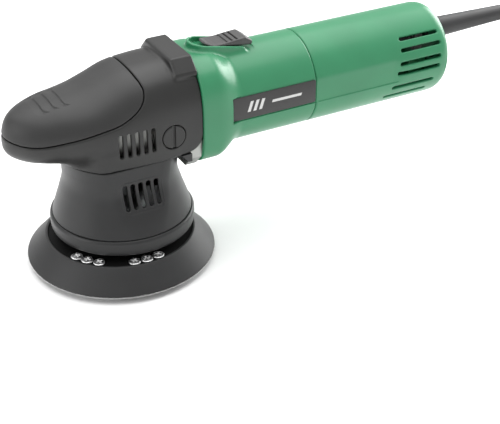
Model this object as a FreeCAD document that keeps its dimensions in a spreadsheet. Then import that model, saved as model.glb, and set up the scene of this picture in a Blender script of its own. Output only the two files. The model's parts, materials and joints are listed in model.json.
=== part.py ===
import FreeCAD, Part
import math
import os
import re
import Sketcher

# Dual action polisher. Origin: where the spindle axis meets the pad's hook face.
# +Z runs up the spindle, the nose points to -X, the motor barrel and the cord to +X.

os.makedirs("parts", exist_ok=True)
doc = FreeCAD.newDocument("DualActionPolisher")
dims = doc.addObject("Spreadsheet::Sheet", "Dims")

SIZES = [
    # overall
    ("motor_height", 99.0, "motor axis above the pad face"),
    ("wall", 2.6, "moulded shell wall"),
    ("press_gap", 0.02, "pressed or bolted fit, per side"),
    ("run_gap", 0.04, "running fit, per side"),
    ("free_gap", 0.4, "between parts that pass each other"),
    # barrel
    ("barrel_rad", 32.0, "motor barrel outside"),
    ("flange_front", 45.0, "front face of the motor housing"),
    ("flange_depth", 12.0, "full-size flange, along the axis"),
    ("flange_half_width", 35.0, "flange, across"),
    ("flange_half_height", 37.5, "flange, up and down"),
    ("flange_lift", 1.5, "flange centre above the motor axis"),
    ("cove_length", 19.0, "from the flange down to the barrel"),
    ("barrel_front_len", 85.0, "motor housing, whole length"),
    ("rear_cover_len", 110.0, "rear cover"),
    ("end_wall", 5.0, "rear end wall"),
    ("facet_half", 30.6, "flat side of the barrel, from the middle"),
    ("facet_low", 6.8, "flat side, below the motor axis"),
    ("facet_high", 10.4, "flat side, above the motor axis"),
    ("vent_len", 31.0, "rear vent slot"),
    ("vent_width", 2.6, "rear vent slot"),
    ("vent_start", 67.5, "first rear vent after the seam"),
    # rotor
    ("shaft_core_rad", 6.5, "shaft under the core"),
    ("shaft_front_rad", 5.0, "shaft in the front bearing"),
    ("shaft_end_rad", 4.0, "shaft under the pinion and in the rear bearing"),
    ("core_front", 78.0, "armature and stator stack, front face"),
    ("core_len", 38.0, "stack length"),
    ("core_rad", 14.6, "armature outside"),
    ("air_gap", 0.5, "armature to stator"),
    ("comm_front", 130.0, "commutator"),
    ("comm_len", 16.0, "commutator"),
    ("comm_rad", 11.0, "commutator"),
    ("fan_front", 47.5, "fan"),
    ("fan_len", 14.5, "fan"),
    ("fan_rad", 26.0, "fan"),
    ("front_brg_at", 29.0, "front rotor bearing"),
    ("front_brg_len", 8.0, "front rotor bearing"),
    ("front_brg_rad", 13.0, "front rotor bearing"),
    ("rear_brg_at", 158.0, "rear rotor bearing"),
    ("rear_brg_len", 7.0, "rear rotor bearing"),
    ("rear_brg_rad", 11.0, "rear rotor bearing"),
    ("sleeve_wall", 1.4, "rubber sleeve on the rear bearing"),
    # bevel gears
    ("tooth_module", 1.2, "bevel module at the outer end"),
    ("pinion_teeth", 10.0, "bevel pinion"),
    ("gear_teeth", 32.0, "bevel gear"),
    ("face_width", 6.5, "bevel teeth along the cone"),
    # spindle
    ("spindle_rad", 6.0, "spindle"),
    ("gear_seat_rad", 7.0, "spindle under the bevel gear"),
    ("low_brg_at", 70.5, "lower spindle bearing, underside"),
    ("low_brg_len", 10.0, "lower spindle bearing"),
    ("low_brg_rad", 16.0, "lower spindle bearing"),
    ("top_brg_at", 103.5, "upper spindle bearing, underside"),
    ("top_brg_len", 8.0, "upper spindle bearing"),
    ("top_brg_rad", 7.0, "upper spindle bearing"),
    ("case_floor", 81.0, "gear case underside"),
    ("case_top", 117.0, "gear case roof"),
    ("case_shoulder", 111.8, "gear case, top of its full width"),
    ("case_half_width", 27.0, "gear case, across"),
    ("case_front", -29.0, "gear case, front face"),
    ("case_flange", 8.0, "gear case rear flange thickness"),
    ("chamber_rad", 23.5, "bevel gear chamber"),
    # orbiting hub and plate
    ("throw", 4.0, "plate axis off the spindle axis"),
    ("throw_turn", -141.0, "direction of the throw at rest, degrees"),
    ("hub_floor", 27.0, "eccentric hub underside"),
    ("hub_rad", 18.5, "eccentric hub, round the plate axis"),
    ("weight_rad", 36.0, "counterweight"),
    ("plate_brg_rad", 14.0, "plate bearings outside"),
    ("plate_brg_len", 8.0, "plate bearings"),
    ("plate_shaft_rad", 6.0, "plate spindle"),
    ("stud_rad", 4.0, "plate spindle stud"),
    ("plate_rad", 62.5, "backing plate rim"),
    ("plate_crest_rad", 49.4, "raised crest on the backing plate"),
    ("plate_crest_z", 19.4, "top of the crest"),
    ("plate_rim_z", 5.2, "top of the rim"),
    ("hook_thick", 1.8, "hook face"),
    ("hub_disc_rad", 48.1, "plate hub disc"),
    ("hub_disc_top", 18.4, "plate hub disc, upper face"),
    ("hub_disc_thick", 5.0, "plate hub disc"),
    ("hub_screw_ring", 44.0, "hub screws, ring radius"),
    ("hub_screw_head", 3.9, "hub screw head radius"),
    ("hub_screw_pitch", 10.8, "hub screws, degrees apart in a group"),
    ("hub_screw_groups", 7.0, "groups of three that would fill the ring; four are there"),
    ("hub_screw_turn", -142.2, "first group, degrees"),
    # skirt
    ("skirt_top", 78.6, "skirt, upper edge"),
    ("skirt_waist", 61.0, "skirt, narrowest"),
    ("skirt_foot", 34.0, "skirt meets its collar ring"),
    ("skirt_top_rad", 39.2, "skirt radius at the top"),
    ("skirt_waist_rad", 37.8, "skirt radius at the waist"),
    ("skirt_foot_rad", 46.2, "skirt radius at the collar"),
    ("skirt_flat_top", 32.2, "side flats at the top, from the middle"),
    ("skirt_flat_waist", 33.6, "side flats at the waist"),
    ("collar_rad", 47.7, "collar ring"),
    ("collar_floor", 23.5, "collar ring underside"),
    ("web_top", 76.0, "skirt web under the bearing plate"),
    ("web_thick", 3.0, "skirt web"),
    ("boss_rad", 19.5, "bearing plate boss"),
    ("slot_pitch", 5.2, "side slots, skirt"),
    ("slot_low", 52.0, "side slots, skirt, lower end"),
    ("slot_tall", 15.6, "side slots, skirt"),
    ("slot_width", 2.5, "side slots"),
    # head cover
    ("cover_floor", 79.0, "head cover, side edge"),
    ("cover_rear", 44.9, "head cover, rear edge"),
    ("cover_slot_pitch", 5.35, "side slots, head cover"),
    ("plug_x", 24.0, "side handle plug"),
    ("plug_z", 94.5, "side handle plug"),
    ("plug_rad", 8.0, "side handle plug"),
    ("grip_gap", 0.35, "joint line round the palm grip"),
    # switch
    ("knob_half_width", 8.3, "slide switch knob"),
    ("rim_half_width", 10.2, "raised rim round the switch, outside"),
    ("rim_wall", 1.7, "raised rim"),
    ("switch_travel", 5.0, "slide switch"),
    ("link_half_width", 2.0, "switch link"),
    # boot, cord and plug
    ("boot_lift", 11.5, "cord axis above the motor axis"),
    ("boot_len", 78.5, "cord boot outside the cover"),
    ("boot_root_rad", 7.4, "cord boot at the cover"),
    ("boot_tip_rad", 5.2, "cord boot at its tip"),
    ("cord_rad", 3.8, "mains cord"),
    ("coil_x", 428.0, "coil centre"),
    ("coil_y", -4.0, "coil centre"),
    ("coil_inner_turn", 31.0, "innermost turn, to the cord's middle"),
    ("coil_turns", 4.0, "turns side by side"),
    ("coil_layers", 2.0, "turns on each other"),
    ("coil_lift", 1.0, "coil off the floor, by the tie"),
    ("pin_rad", 2.4, "plug pins"),
    ("pin_spacing", 19.0, "plug pins apart"),
    ("pin_len", 19.0, "plug pins"),
]

for row, (alias, value, note) in enumerate(SIZES, start=1):
    dims.set(f"A{row}", str(value))
    dims.setAlias(f"A{row}", alias)
    dims.set(f"B{row}", note)
doc.recompute()
size = {alias: value for alias, value, note in SIZES}
V = FreeCAD.Vector
X_AXIS, Y_AXIS, Z_AXIS = V(1, 0, 0), V(0, 1, 0), V(0, 0, 1)
MATH_WORDS = {"cos", "sin", "tan", "sqrt", "mm", "deg"}
pieces = {}


def bind(text):
    """Turn the sheet's bare aliases in a formula into references to the sheet."""
    def swap(match):
        word = match.group(0)
        return word if word in MATH_WORDS else "Dims." + word
    return re.sub(r"[a-z_]+[a-z_0-9]*", swap, str(text))


def value(text):
    """The number that a formula of sheet aliases comes to."""
    words = dict(size)
    total = 0.0
    for sign, term in re.findall(r"([+-]?)\s*([^+-]+)", str(text).replace(" ", "")):
        product = -1.0 if sign == "-" else 1.0
        for mark, factor in re.findall(r"([*/]?)([^*/]+)", term):
            number = words[factor] if factor in words else float(factor)
            product = product / number if mark == "/" else product * number
        total += product
    return total


def keep(name, thing):
    """Name a finished sub-part, which is what gets written."""
    thing.Label = name
    pieces[name] = thing
    return thing


def place(thing, x="0", y="0", z="0"):
    for letter, formula in (("x", x), ("y", y), ("z", z)):
        thing.setExpression(f"Placement.Base.{letter}", bind(formula))


def new_body(name):
    body = doc.addObject("PartDesign::Body", name + "_body")
    body.AllowCompound = True
    return body


def new_sketch(body, role, offset="0"):
    sketch = body.newObject("Sketcher::SketchObject", body.Name + "_sketch")
    plane = [item for item in body.Origin.OriginFeatures if item.Role == role][0]
    sketch.AttachmentSupport = [(plane, "")]
    sketch.MapMode = "FlatFace"
    sketch.setExpression("AttachmentOffset.Base.z", bind(offset))
    return sketch


def pin_point(sketch, edge, point, across, up):
    """Hold one sketch point at formulas from the sketch origin."""
    for kind, axis, formula in (("DistanceX", -2, across), ("DistanceY", -1, up)):
        if value(formula) == 0.0:
            sketch.addConstraint(Sketcher.Constraint("PointOnObject", edge, point, axis))
            continue
        rule = Sketcher.Constraint(kind, -1, 1, edge, point, value(formula))
        number = sketch.addConstraint(rule)
        sketch.setExpression(f"Constraints[{number}]", bind(formula))


def polygon(sketch, points):
    """A closed outline of straight edges, every corner bound to the sheet."""
    corners = [V(value(across), value(up), 0) for across, up in points]
    first = sketch.GeometryCount
    for index, corner in enumerate(corners):
        following = corners[(index + 1) % len(corners)]
        sketch.addGeometry(Part.LineSegment(corner, following))
    for index in range(len(corners)):
        after = first + (index + 1) % len(corners)
        sketch.addConstraint(Sketcher.Constraint("Coincident", first + index, 2, after, 1))
    for index, (across, up) in enumerate(points):
        pin_point(sketch, first + index, 1, across, up)


def circle(sketch, across, up, radius):
    middle = V(value(across), value(up), 0)
    edge = sketch.addGeometry(Part.Circle(middle, Z_AXIS, value(radius)))
    rule = sketch.addConstraint(Sketcher.Constraint("Radius", edge, value(radius)))
    sketch.setExpression(f"Constraints[{rule}]", bind(radius))
    pin_point(sketch, edge, 3, across, up)


def box_outline(sketch, left, low, right, high):
    polygon(sketch, [(left, low), (right, low), (right, high), (left, high)])


def revolve(body, points, along_x):
    """Turn a profile: (x, radius) pairs about X, or (radius, z) pairs about Z."""
    sketch = new_sketch(body, "XZ_Plane")
    polygon(sketch, points)
    turn = body.newObject("PartDesign::Revolution", body.Name + "_turn")
    turn.Profile = sketch
    turn.ReferenceAxis = (sketch, ["H_Axis" if along_x else "V_Axis"])
    turn.Angle = 360
    return turn


def extrude(body, role, offset, length, draw, kind="Pad", both=False, flip=False):
    """Pad or Pocket whatever draw() puts in a sketch on an origin plane."""
    sketch = new_sketch(body, role, offset)
    draw(sketch)
    feature = body.newObject("PartDesign::" + kind, body.Name + "_" + kind.lower())
    feature.Profile = sketch
    feature.Midplane = both
    feature.Reversed = flip
    feature.setExpression("Length", bind(length))
    return feature


def ring_of(body, feature, axis_role, count):
    """Repeat one feature round an axis of its body."""
    axis = [item for item in body.Origin.OriginFeatures if item.Role == axis_role][0]
    pattern = body.newObject("PartDesign::PolarPattern", body.Name + "_ring")
    pattern.Originals = [feature]
    pattern.Axis = (axis, [""])
    pattern.Angle = 360
    pattern.setExpression("Occurrences", bind(count))
    body.Tip = pattern
    return pattern


def turned_on_motor(name, points):
    """A piece turned about the motor axis."""
    body = new_body(name)
    revolve(body, points, True)
    place(body, z="motor_height")
    return keep(name, body)


def turned_upright(name, points):
    """A piece turned about the spindle axis."""
    body = new_body(name)
    revolve(body, points, False)
    return keep(name, body)


def on_plate_axis(body):
    """Move a body from the spindle axis to the plate's own axis."""
    body.setExpression("Placement.Base.x", "Dims.throw * cos(Dims.throw_turn * 1deg)")
    body.setExpression("Placement.Base.y", "Dims.throw * sin(Dims.throw_turn * 1deg)")


def cylinder(name, radius, length, x="0", y="0", z="0", axis=Z_AXIS):
    item = doc.addObject("Part::Cylinder", name)
    item.setExpression("Radius", bind(radius))
    item.setExpression("Height", bind(length))
    item.Placement = FreeCAD.Placement(V(0, 0, 0), FreeCAD.Rotation(Z_AXIS, axis))
    place(item, x, y, z)
    return item


def block(name, low, high):
    """A box between two corners, each given as three formulas."""
    item = doc.addObject("Part::Box", name)
    for side, start, end in zip(("Length", "Width", "Height"), low, high):
        item.setExpression(side, f"({bind(end)}) - ({bind(start)})")
    place(item, *low)
    return item


def joined(name, items):
    item = doc.addObject("Part::MultiFuse", name)
    item.Shapes = items
    return item


def group(name, items):
    """Several separate solids kept as one sub-part."""
    item = doc.addObject("Part::Compound", name)
    item.Links = items
    return keep(name, item)


def cut(name, base, tools):
    item = doc.addObject("Part::Cut", name)
    item.Base = base
    item.Tool = tools[0] if len(tools) == 1 else joined(name + "_tools", tools)
    return item


def shaped(name, shape):
    """A sub-part whose surface is lofted, which no primitive can give."""
    item = doc.addObject("Part::Feature", name)
    item.Shape = shape
    return item


def smooth_ring(points):
    curve = Part.BSplineCurve()
    curve.interpolate(points, PeriodicFlag=True)
    return Part.Wire(curve.toShape())


def loft(wires):
    return Part.makeLoft(wires, True, False)


# ---------------------------------------------------------------- rotor
core_rear = "core_front + core_len"
turned_on_motor("armature_shaft", [
    ("20.7", "0"), ("20.7", "shaft_end_rad"),
    ("front_brg_at - 1.2", "shaft_end_rad"), ("front_brg_at - 1.2", "shaft_front_rad"),
    ("front_brg_at + front_brg_len", "shaft_front_rad"),
    ("front_brg_at + front_brg_len", "shaft_core_rad"),
    ("comm_front - 1.5", "shaft_core_rad"), ("comm_front - 1.5", "shaft_core_rad - 0.5"),
    ("rear_brg_at - 1.5", "shaft_core_rad - 0.5"), ("rear_brg_at - 1.5", "shaft_end_rad"),
    ("rear_brg_at + rear_brg_len + 1", "shaft_end_rad"),
    ("rear_brg_at + rear_brg_len + 1", "0")])

core = turned_on_motor("armature_core", [
    ("core_front", "shaft_core_rad + press_gap"), (core_rear, "shaft_core_rad + press_gap"),
    (core_rear, "core_rad"), ("core_front", "core_rad")])
slot = extrude(core, "YZ_Plane", core_rear, "core_len",
               lambda s: box_outline(s, "-1.5", "9", "1.5", "core_rad + 1"), "Pocket")
ring_of(core, slot, "X_Axis", "12")

windings = new_body("armature_windings")
place(windings, z="motor_height")
revolve(windings, [
    ("core_front - 7.5", "8"), ("core_front - press_gap", "8"),
    ("core_front - press_gap", "13.2"), ("core_front - 1.5", "13.8"),
    ("core_front - 6", "12.8"), ("core_front - 7.5", "11")], True)
revolve(windings, [
    ("core_front + core_len + press_gap", "8"), ("core_front + core_len + 8", "8"),
    ("core_front + core_len + 8", "10.6"), ("core_front + core_len + 6", "12.8"),
    ("core_front + core_len + 1.5", "13.8"), ("core_front + core_len + press_gap", "13.2")], True)
bar = extrude(windings, "YZ_Plane", "core_front - 2", "core_len + 4",
              lambda s: box_outline(s, "-1.3", "9.2", "1.3", "13"))
ring_of(windings, bar, "X_Axis", "12")
keep("armature_windings", windings)

commutator = turned_on_motor("commutator", [
    ("comm_front", "shaft_core_rad - 0.5 + press_gap"),
    ("comm_front + comm_len", "shaft_core_rad - 0.5 + press_gap"),
    ("comm_front + comm_len", "comm_rad"), ("comm_front + 3", "comm_rad"),
    ("comm_front + 3", "comm_rad + 1.4"), ("comm_front", "comm_rad + 1.4")])
groove = extrude(commutator, "YZ_Plane", "comm_front + comm_len", "comm_len",
                 lambda s: box_outline(s, "-0.3", "comm_rad - 0.8", "0.3", "comm_rad + 2"),
                 "Pocket")
ring_of(commutator, groove, "X_Axis", "24")

fan = turned_on_motor("cooling_fan", [
    ("fan_front", "shaft_core_rad + press_gap"),
    ("fan_front + fan_len", "shaft_core_rad + press_gap"),
    ("fan_front + fan_len", "fan_rad"), ("fan_front + fan_len - 1.6", "fan_rad"),
    ("fan_front + fan_len - 2.4", "11"), ("fan_front", "9.5")])
blade = extrude(fan, "YZ_Plane", "fan_front + fan_len - 11", "10",
                lambda s: polygon(s, [("-0.8", "10"), ("0.8", "10"),
                                      ("4.4", "fan_rad - 1"), ("2.8", "fan_rad - 1")]))
ring_of(fan, blade, "X_Axis", "14")


def bevel(name, own_teeth, mate_teeth, along_x, half_turn, fat, root_share, blank):
    """Straight bevel gear: a turned blank and teeth that taper to the shaft crossing."""
    module = size["tooth_module"]
    own_rad = module * own_teeth / 2
    apex_rise = module * mate_teeth / 2
    cone = math.hypot(own_rad, apex_rise)
    inner = (cone - size["face_width"]) / cone
    add, ded = 0.9 * module, 1.2 * module
    outward = V(apex_rise / cone, own_rad / cone, 0)
    half = {"root": root_share * module, "pitch": fat * module, "tip": 0.42 * fat * module}

    def section(share, angle):
        corners = []
        for height, width in ((-ded, "root"), (0, "pitch"), (add, "tip")):
            radius = (own_rad + height * outward.x) * share
            depth = (apex_rise - height * outward.y) * share
            corners.append((radius, depth, half[width] * share))
        loop = [(r, d, w) for r, d, w in corners] + [(r, d, -w) for r, d, w in corners[::-1]]
        points = []
        for radius, depth, width in loop:
            across = radius * math.cos(angle) - width * math.sin(angle)
            up = radius * math.sin(angle) + width * math.cos(angle)
            points.append(V(depth, across, up) if along_x else V(across, up, -depth))
        return Part.makePolygon(points + points[:1])

    solid = blank
    for index in range(int(own_teeth)):
        angle = 2 * math.pi * (index + (0.5 if half_turn else 0.0)) / own_teeth
        if along_x:
            angle -= math.pi / 2
        tooth = loft([section(1.0, angle), section(inner, angle)])
        solid = solid.fuse(tooth)
    item = shaped(name, solid.removeSplitter())
    place(item, z="motor_height")
    return keep(name, item)


def spun(points, along_x):
    """A plain turned blank as a shape, from (x, radius) or (radius, z) numbers."""
    corners = [V(a, 0, b) for a, b in points]
    face = Part.Face(Part.makePolygon(corners + corners[:1]))
    return face.revolve(V(0, 0, 0), X_AXIS if along_x else Z_AXIS, 360)


module = size["tooth_module"]
pinion_rad = module * size["pinion_teeth"] / 2
gear_rad = module * size["gear_teeth"] / 2
cone_len = math.hypot(pinion_rad, gear_rad)
inner_share = (cone_len - size["face_width"]) / cone_len
root_drop = 1.1 * module
# each blank's face lies on the root cone, and its back on the back cone
pinion_root = (gear_rad + root_drop * pinion_rad / cone_len,
               pinion_rad - root_drop * gear_rad / cone_len)
gear_root = (gear_rad - root_drop * pinion_rad / cone_len,
             -(pinion_rad + root_drop * gear_rad / cone_len))
pinion_end = size["front_brg_at"] - 1.3
bore = size["shaft_end_rad"] + size["press_gap"]
bevel("bevel_pinion", size["pinion_teeth"], size["gear_teeth"], True, False, 0.66, 0.6, spun([
    (pinion_root[0] * inner_share, 0), (pinion_root[0] * inner_share, pinion_root[1] * inner_share),
    pinion_root, (pinion_root[0] + 0.6, 7.2), (pinion_end, 7.2), (pinion_end, bore),
    (20.6, bore), (20.6, 0)], True))
seat = size["gear_seat_rad"] + size["press_gap"]
gear_floor = size["case_floor"] + 1.6 - size["motor_height"]
bevel("bevel_gear", size["gear_teeth"], size["pinion_teeth"], False, True, 0.6, 0.95, spun([
    (seat, gear_floor), (12, gear_floor), (17.5, gear_floor + 3.2), (gear_root[0] + 0.4, -9.4),
    gear_root, (gear_root[0] * inner_share, gear_root[1] * inner_share),
    (11.5, -6.5), (seat, -6.5)], False))

# ---------------------------------------------------------------- stator, brushes, bearings
stator_rad = "barrel_rad - wall - 0.5"
stator_bore = "core_rad + air_gap"
stator = turned_on_motor("stator_core", [
    ("core_front", "22.8"), (core_rear, "22.8"), (core_rear, stator_rad),
    ("core_front", stator_rad)])
for sign in ("", "-"):
    extrude(stator, "YZ_Plane", core_rear, "core_len", lambda s: polygon(s, [
        ("-9", sign + "18.6"), ("9", sign + "18.6"),
        ("8", sign + "24"), ("-8", sign + "24")]), flip=True)
    extrude(stator, "YZ_Plane", core_rear, "core_len", lambda s: polygon(s, [
        ("-13", sign + "12.2"), ("13", sign + "12.2"),
        ("9", sign + "19"), ("-9", sign + "19")]), flip=True)
extrude(stator, "YZ_Plane", "core_front + core_len + 1", "core_len + 2",
        lambda s: circle(s, "0", "0", stator_bore), "Pocket")
extrude(stator, "YZ_Plane", "core_front + core_len + 1", "core_len + 2", lambda s: box_outline(
    s, "-link_half_width - 2", "25.2", "link_half_width + 2", "30"), "Pocket")

coils = new_body("stator_coils")
place(coils, z="motor_height")
for start in ("core_front - 7", "core_front + core_len + press_gap"):
    revolve(coils, [(start, "16.2"), (start + " + 7 - press_gap", "16.2"),
                    (start + " + 7 - press_gap", "22.4"), (start, "21.4")], True)
for sign in ("", "-"):
    extrude(coils, "YZ_Plane", "core_front - 3", "core_len + 6", lambda s: polygon(s, [
        (sign + "16.6", "-9"), (sign + "20.3", "-8"), (sign + "21.9", "0"),
        (sign + "20.3", "8"), (sign + "16.6", "9")]))
keep("stator_coils", coils)


def ball_bearing(name, bore_rad, outer_rad, start, length, along_x):
    """Two rings and their recessed shields, as one turned piece."""
    ring = value(outer_rad) - value(bore_rad)
    step_in = f"{bore_rad} + {ring * 0.26:.3f}"
    step_out = f"{outer_rad} - {ring * 0.24:.3f}"
    end = f"{start} + {length}"
    points = [
        (start, bore_rad), (end, bore_rad), (end, step_in), (end + " - 0.6", step_in),
        (end + " - 0.6", step_out), (end, step_out), (end, outer_rad), (start, outer_rad),
        (start, step_out), (start + " + 0.6", step_out), (start + " + 0.6", step_in),
        (start, step_in)]
    if along_x:
        return turned_on_motor(name, points)
    return turned_upright(name, [(radius, height) for height, radius in points])


ball_bearing("front_rotor_bearing", "shaft_front_rad + run_gap", "front_brg_rad",
             "front_brg_at", "front_brg_len", True)
ball_bearing("rear_rotor_bearing", "shaft_end_rad + run_gap", "rear_brg_rad",
             "rear_brg_at", "rear_brg_len", True)
ball_bearing("lower_spindle_bearing", "spindle_rad + run_gap", "low_brg_rad",
             "low_brg_at", "low_brg_len", False)
ball_bearing("upper_spindle_bearing", "shaft_end_rad + run_gap", "top_brg_rad",
             "top_brg_at", "top_brg_len", False)

turned_on_motor("bearing_sleeve", [
    ("rear_brg_at", "rear_brg_rad + press_gap"),
    ("rear_brg_at + rear_brg_len", "rear_brg_rad + press_gap"),
    ("rear_brg_at + rear_brg_len", "rear_brg_rad + sleeve_wall"),
    ("rear_brg_at", "rear_brg_rad + sleeve_wall")])

bracket = turned_on_motor("rear_bracket", [
    ("126.5", "24.6"), ("149", "24.6"), ("149", "14"), ("rear_brg_at - 1.5", "14"),
    ("rear_brg_at - 1.5", "rear_brg_rad + sleeve_wall + press_gap"),
    ("rear_brg_at + rear_brg_len + 2", "rear_brg_rad + sleeve_wall + press_gap"),
    ("rear_brg_at + rear_brg_len + 2", "15.4"), ("152", "15.4"), ("152", stator_rad),
    ("126.5", stator_rad)])
window = extrude(bracket, "YZ_Plane", "153", "6", lambda s: polygon(s, [
    ("-6", "16.5"), ("6", "16.5"), ("9", "23"), ("-9", "23")]), "Pocket")
ring_of(bracket, window, "X_Axis", "4")
extrude(bracket, "YZ_Plane", "153", "28", lambda s: box_outline(
    s, "-link_half_width - 2", "24.9", "link_half_width + 2", "30"), "Pocket")
extrude(bracket, "XZ_Plane", "0", "70", lambda s: box_outline(
    s, "comm_front + 3.4", "-4.3", "comm_front + 12.6", "4.3"), "Pocket", both=True)
for sign in ("", "-"):
    extrude(bracket, "YZ_Plane", "153", "13",
            lambda s: circle(s, sign + "20", "-16", "1.65"), "Pocket")

turned_on_motor("air_baffle", [
    ("64.5", "16"), ("66.5", "16"), ("70.5", stator_rad), ("68.5", stator_rad)])

side_parts = {"brush_holders": [], "carbon_brushes": [], "brush_springs": []}
for side, sign in (("left", -1), ("right", 1)):
    box = block("holder_" + side, ("comm_front + 3.5", "13", "motor_height - 4.2"),
                ("comm_front + 12.5", "27.2", "motor_height + 4.2"))
    bore_box = block("holder_bore_" + side, ("comm_front + 4.8", "12", "motor_height - 3"),
                     ("comm_front + 11.2", "26.2", "motor_height + 3"))
    brush = block("brush_" + side, ("comm_front + 4.9", "comm_rad + 0.1", "motor_height - 2.9"),
                  ("comm_front + 11.1", "21", "motor_height + 2.9"))
    spring = cylinder("spring_" + side, "2.4", "5", "comm_front + 8", "21.05",
                      "motor_height", axis=Y_AXIS)
    made = {"brush_holders": cut("holder_cut_" + side, box, [bore_box]),
            "carbon_brushes": brush, "brush_springs": spring}
    for node, item in made.items():
        if sign < 0:
            mirror = doc.addObject("Part::Mirroring", item.Name + "_mirror")
            mirror.Source = item
            mirror.Normal = Y_AXIS
            item = mirror
        side_parts[node].append(item)
for node, items in side_parts.items():
    group(node, items)

# ---------------------------------------------------------------- spindle and eccentric hub
turned_upright("spindle", [
    ("0", "56.3"), ("spindle_rad", "56.3"), ("spindle_rad", "low_brg_at + low_brg_len + 0.3"),
    ("gear_seat_rad", "low_brg_at + low_brg_len + 0.3"), ("gear_seat_rad", "motor_height - 5.8"),
    ("spindle_rad", "motor_height - 5.8"), ("spindle_rad", "top_brg_at - 0.8"),
    ("shaft_end_rad", "top_brg_at - 0.8"), ("shaft_end_rad", "top_brg_at + top_brg_len"),
    ("0", "top_brg_at + top_brg_len")])

hub = new_body("eccentric_hub")
throw_cos = f"{math.cos(math.radians(size['throw_turn'])):.6f}"
throw_sin = f"{math.sin(math.radians(size['throw_turn'])):.6f}"
ecc = (f"throw*{throw_cos}", f"throw*{throw_sin}")
extrude(hub, "XY_Plane", "hub_floor", "27", lambda s: circle(s, *ecc, "hub_rad"))
extrude(hub, "XY_Plane", "hub_floor + 20", "17", lambda s: circle(s, "0", "0", "12"))


def weight_outline(sketch):
    """A sector opposite the throw, as a many-sided outline."""
    middle = math.radians(size["throw_turn"] + 180)
    corners = [("0", "0")]
    for step in range(-6, 7):
        angle = middle + math.radians(step * 10)
        corners.append((f"weight_rad*{math.cos(angle):.6f}", f"weight_rad*{math.sin(angle):.6f}"))
    polygon(sketch, corners)


extrude(hub, "XY_Plane", "hub_floor + 5", "15", weight_outline)
extrude(hub, "XY_Plane", "hub_floor + 23", "24",
        lambda s: circle(s, *ecc, "plate_brg_rad + press_gap"), "Pocket")
extrude(hub, "XY_Plane", "hub_floor + 38", "9",
        lambda s: circle(s, "0", "0", "spindle_rad + press_gap"), "Pocket")
keep("eccentric_hub", hub)

for name, start in (("plate_bearing_upper", "hub_floor + 14.8"),
                    ("plate_bearing_lower", "hub_floor + 2")):
    on_plate_axis(ball_bearing(name, "plate_shaft_rad + run_gap", "plate_brg_rad", start,
                               "plate_brg_len", False))
on_plate_axis(turned_upright("bearing_spacer", [
    ("plate_brg_rad - 2", "hub_floor + 2.02 + plate_brg_len"),
    ("plate_brg_rad", "hub_floor + 2.02 + plate_brg_len"),
    ("plate_brg_rad", "hub_floor + 14.78"), ("plate_brg_rad - 2", "hub_floor + 14.78")]))
on_plate_axis(turned_upright("bearing_circlip", [
    ("plate_brg_rad - 2.2", "hub_floor + 0.6"), ("plate_brg_rad", "hub_floor + 0.6"),
    ("plate_brg_rad", "hub_floor + 1.9"), ("plate_brg_rad - 2.2", "hub_floor + 1.9")]))

# ---------------------------------------------------------------- plate
on_plate_axis(turned_upright("plate_spindle", [
    ("0", "hub_disc_top - 10"), ("stud_rad", "hub_disc_top - 10"),
    ("stud_rad", "hub_disc_top + 2.02"), ("9", "hub_disc_top + 2.02"),
    ("9", "hub_floor - 2"), ("plate_shaft_rad + 1.5", "hub_floor - 2"),
    ("plate_shaft_rad + 1.5", "hub_floor + 1.9"), ("plate_shaft_rad", "hub_floor + 1.9"),
    ("plate_shaft_rad", "hub_floor + 22.7"), ("0", "hub_floor + 22.7")]))


def hub_screw_spots():
    """Angles of the hub screws: groups of three, two groups at each side of the plate."""
    between = 360.0 / size["hub_screw_groups"]
    for side in (0, 180):
        for group in (0, 1):
            for step in (-1, 0, 1):
                turn = size["hub_screw_turn"] + side + group * between
                yield math.radians(turn + step * size["hub_screw_pitch"])


disc_floor = "hub_disc_top - hub_disc_thick"
plate_hub = turned_upright("plate_hub", [
    ("stud_rad + press_gap", disc_floor), ("hub_disc_rad", disc_floor),
    ("hub_disc_rad", "hub_disc_top"), ("15", "hub_disc_top"), ("13", "hub_disc_top + 2"),
    ("stud_rad + press_gap", "hub_disc_top + 2")])


def screw_holes(sketch, radius):
    for angle in hub_screw_spots():
        circle(sketch, f"hub_screw_ring*{math.cos(angle):.6f}",
               f"hub_screw_ring*{math.sin(angle):.6f}", radius)


extrude(plate_hub, "XY_Plane", "hub_disc_top", "hub_disc_thick",
        lambda s: screw_holes(s, "2.1"), "Pocket")
on_plate_axis(plate_hub)

plate = turned_upright("backing_plate", [
    ("0", "hook_thick"), ("plate_rad - 4", "hook_thick"), ("plate_rad", "plate_rim_z - 0.6"),
    ("plate_rad", "plate_rim_z"), ("plate_crest_rad", "plate_crest_z"),
    ("hub_disc_rad + press_gap", "plate_crest_z"), ("hub_disc_rad + press_gap", disc_floor),
    ("stud_rad + 1", disc_floor), ("stud_rad + 1", "hub_disc_top - 10.5"),
    ("0", "hub_disc_top - 10.5")])
extrude(plate, "XY_Plane", disc_floor, "5", lambda s: screw_holes(s, "2.1"), "Pocket")
on_plate_axis(plate)
on_plate_axis(turned_upright("hook_face", [
    ("0", "0"), ("plate_rad - 4.6", "0"), ("plate_rad - 4.3", "0.4"),
    ("plate_rad - 4.3", "hook_thick"), ("0", "hook_thick")]))

screws = []
for number, angle in enumerate(hub_screw_spots()):
    at = (f"throw*{throw_cos} + hub_screw_ring*{math.cos(angle):.6f}",
          f"throw*{throw_sin} + hub_screw_ring*{math.sin(angle):.6f}")
    head = cylinder(f"hub_screw_head_{number}", "hub_screw_head", "1.5", *at, "hub_disc_top")
    shank = cylinder(f"hub_screw_shank_{number}", "2.05", "9.6", *at, "hub_disc_top - 9.5")
    screws.append(joined(f"hub_screw_{number}", [head, shank]))
group("hub_screws", screws)

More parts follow.
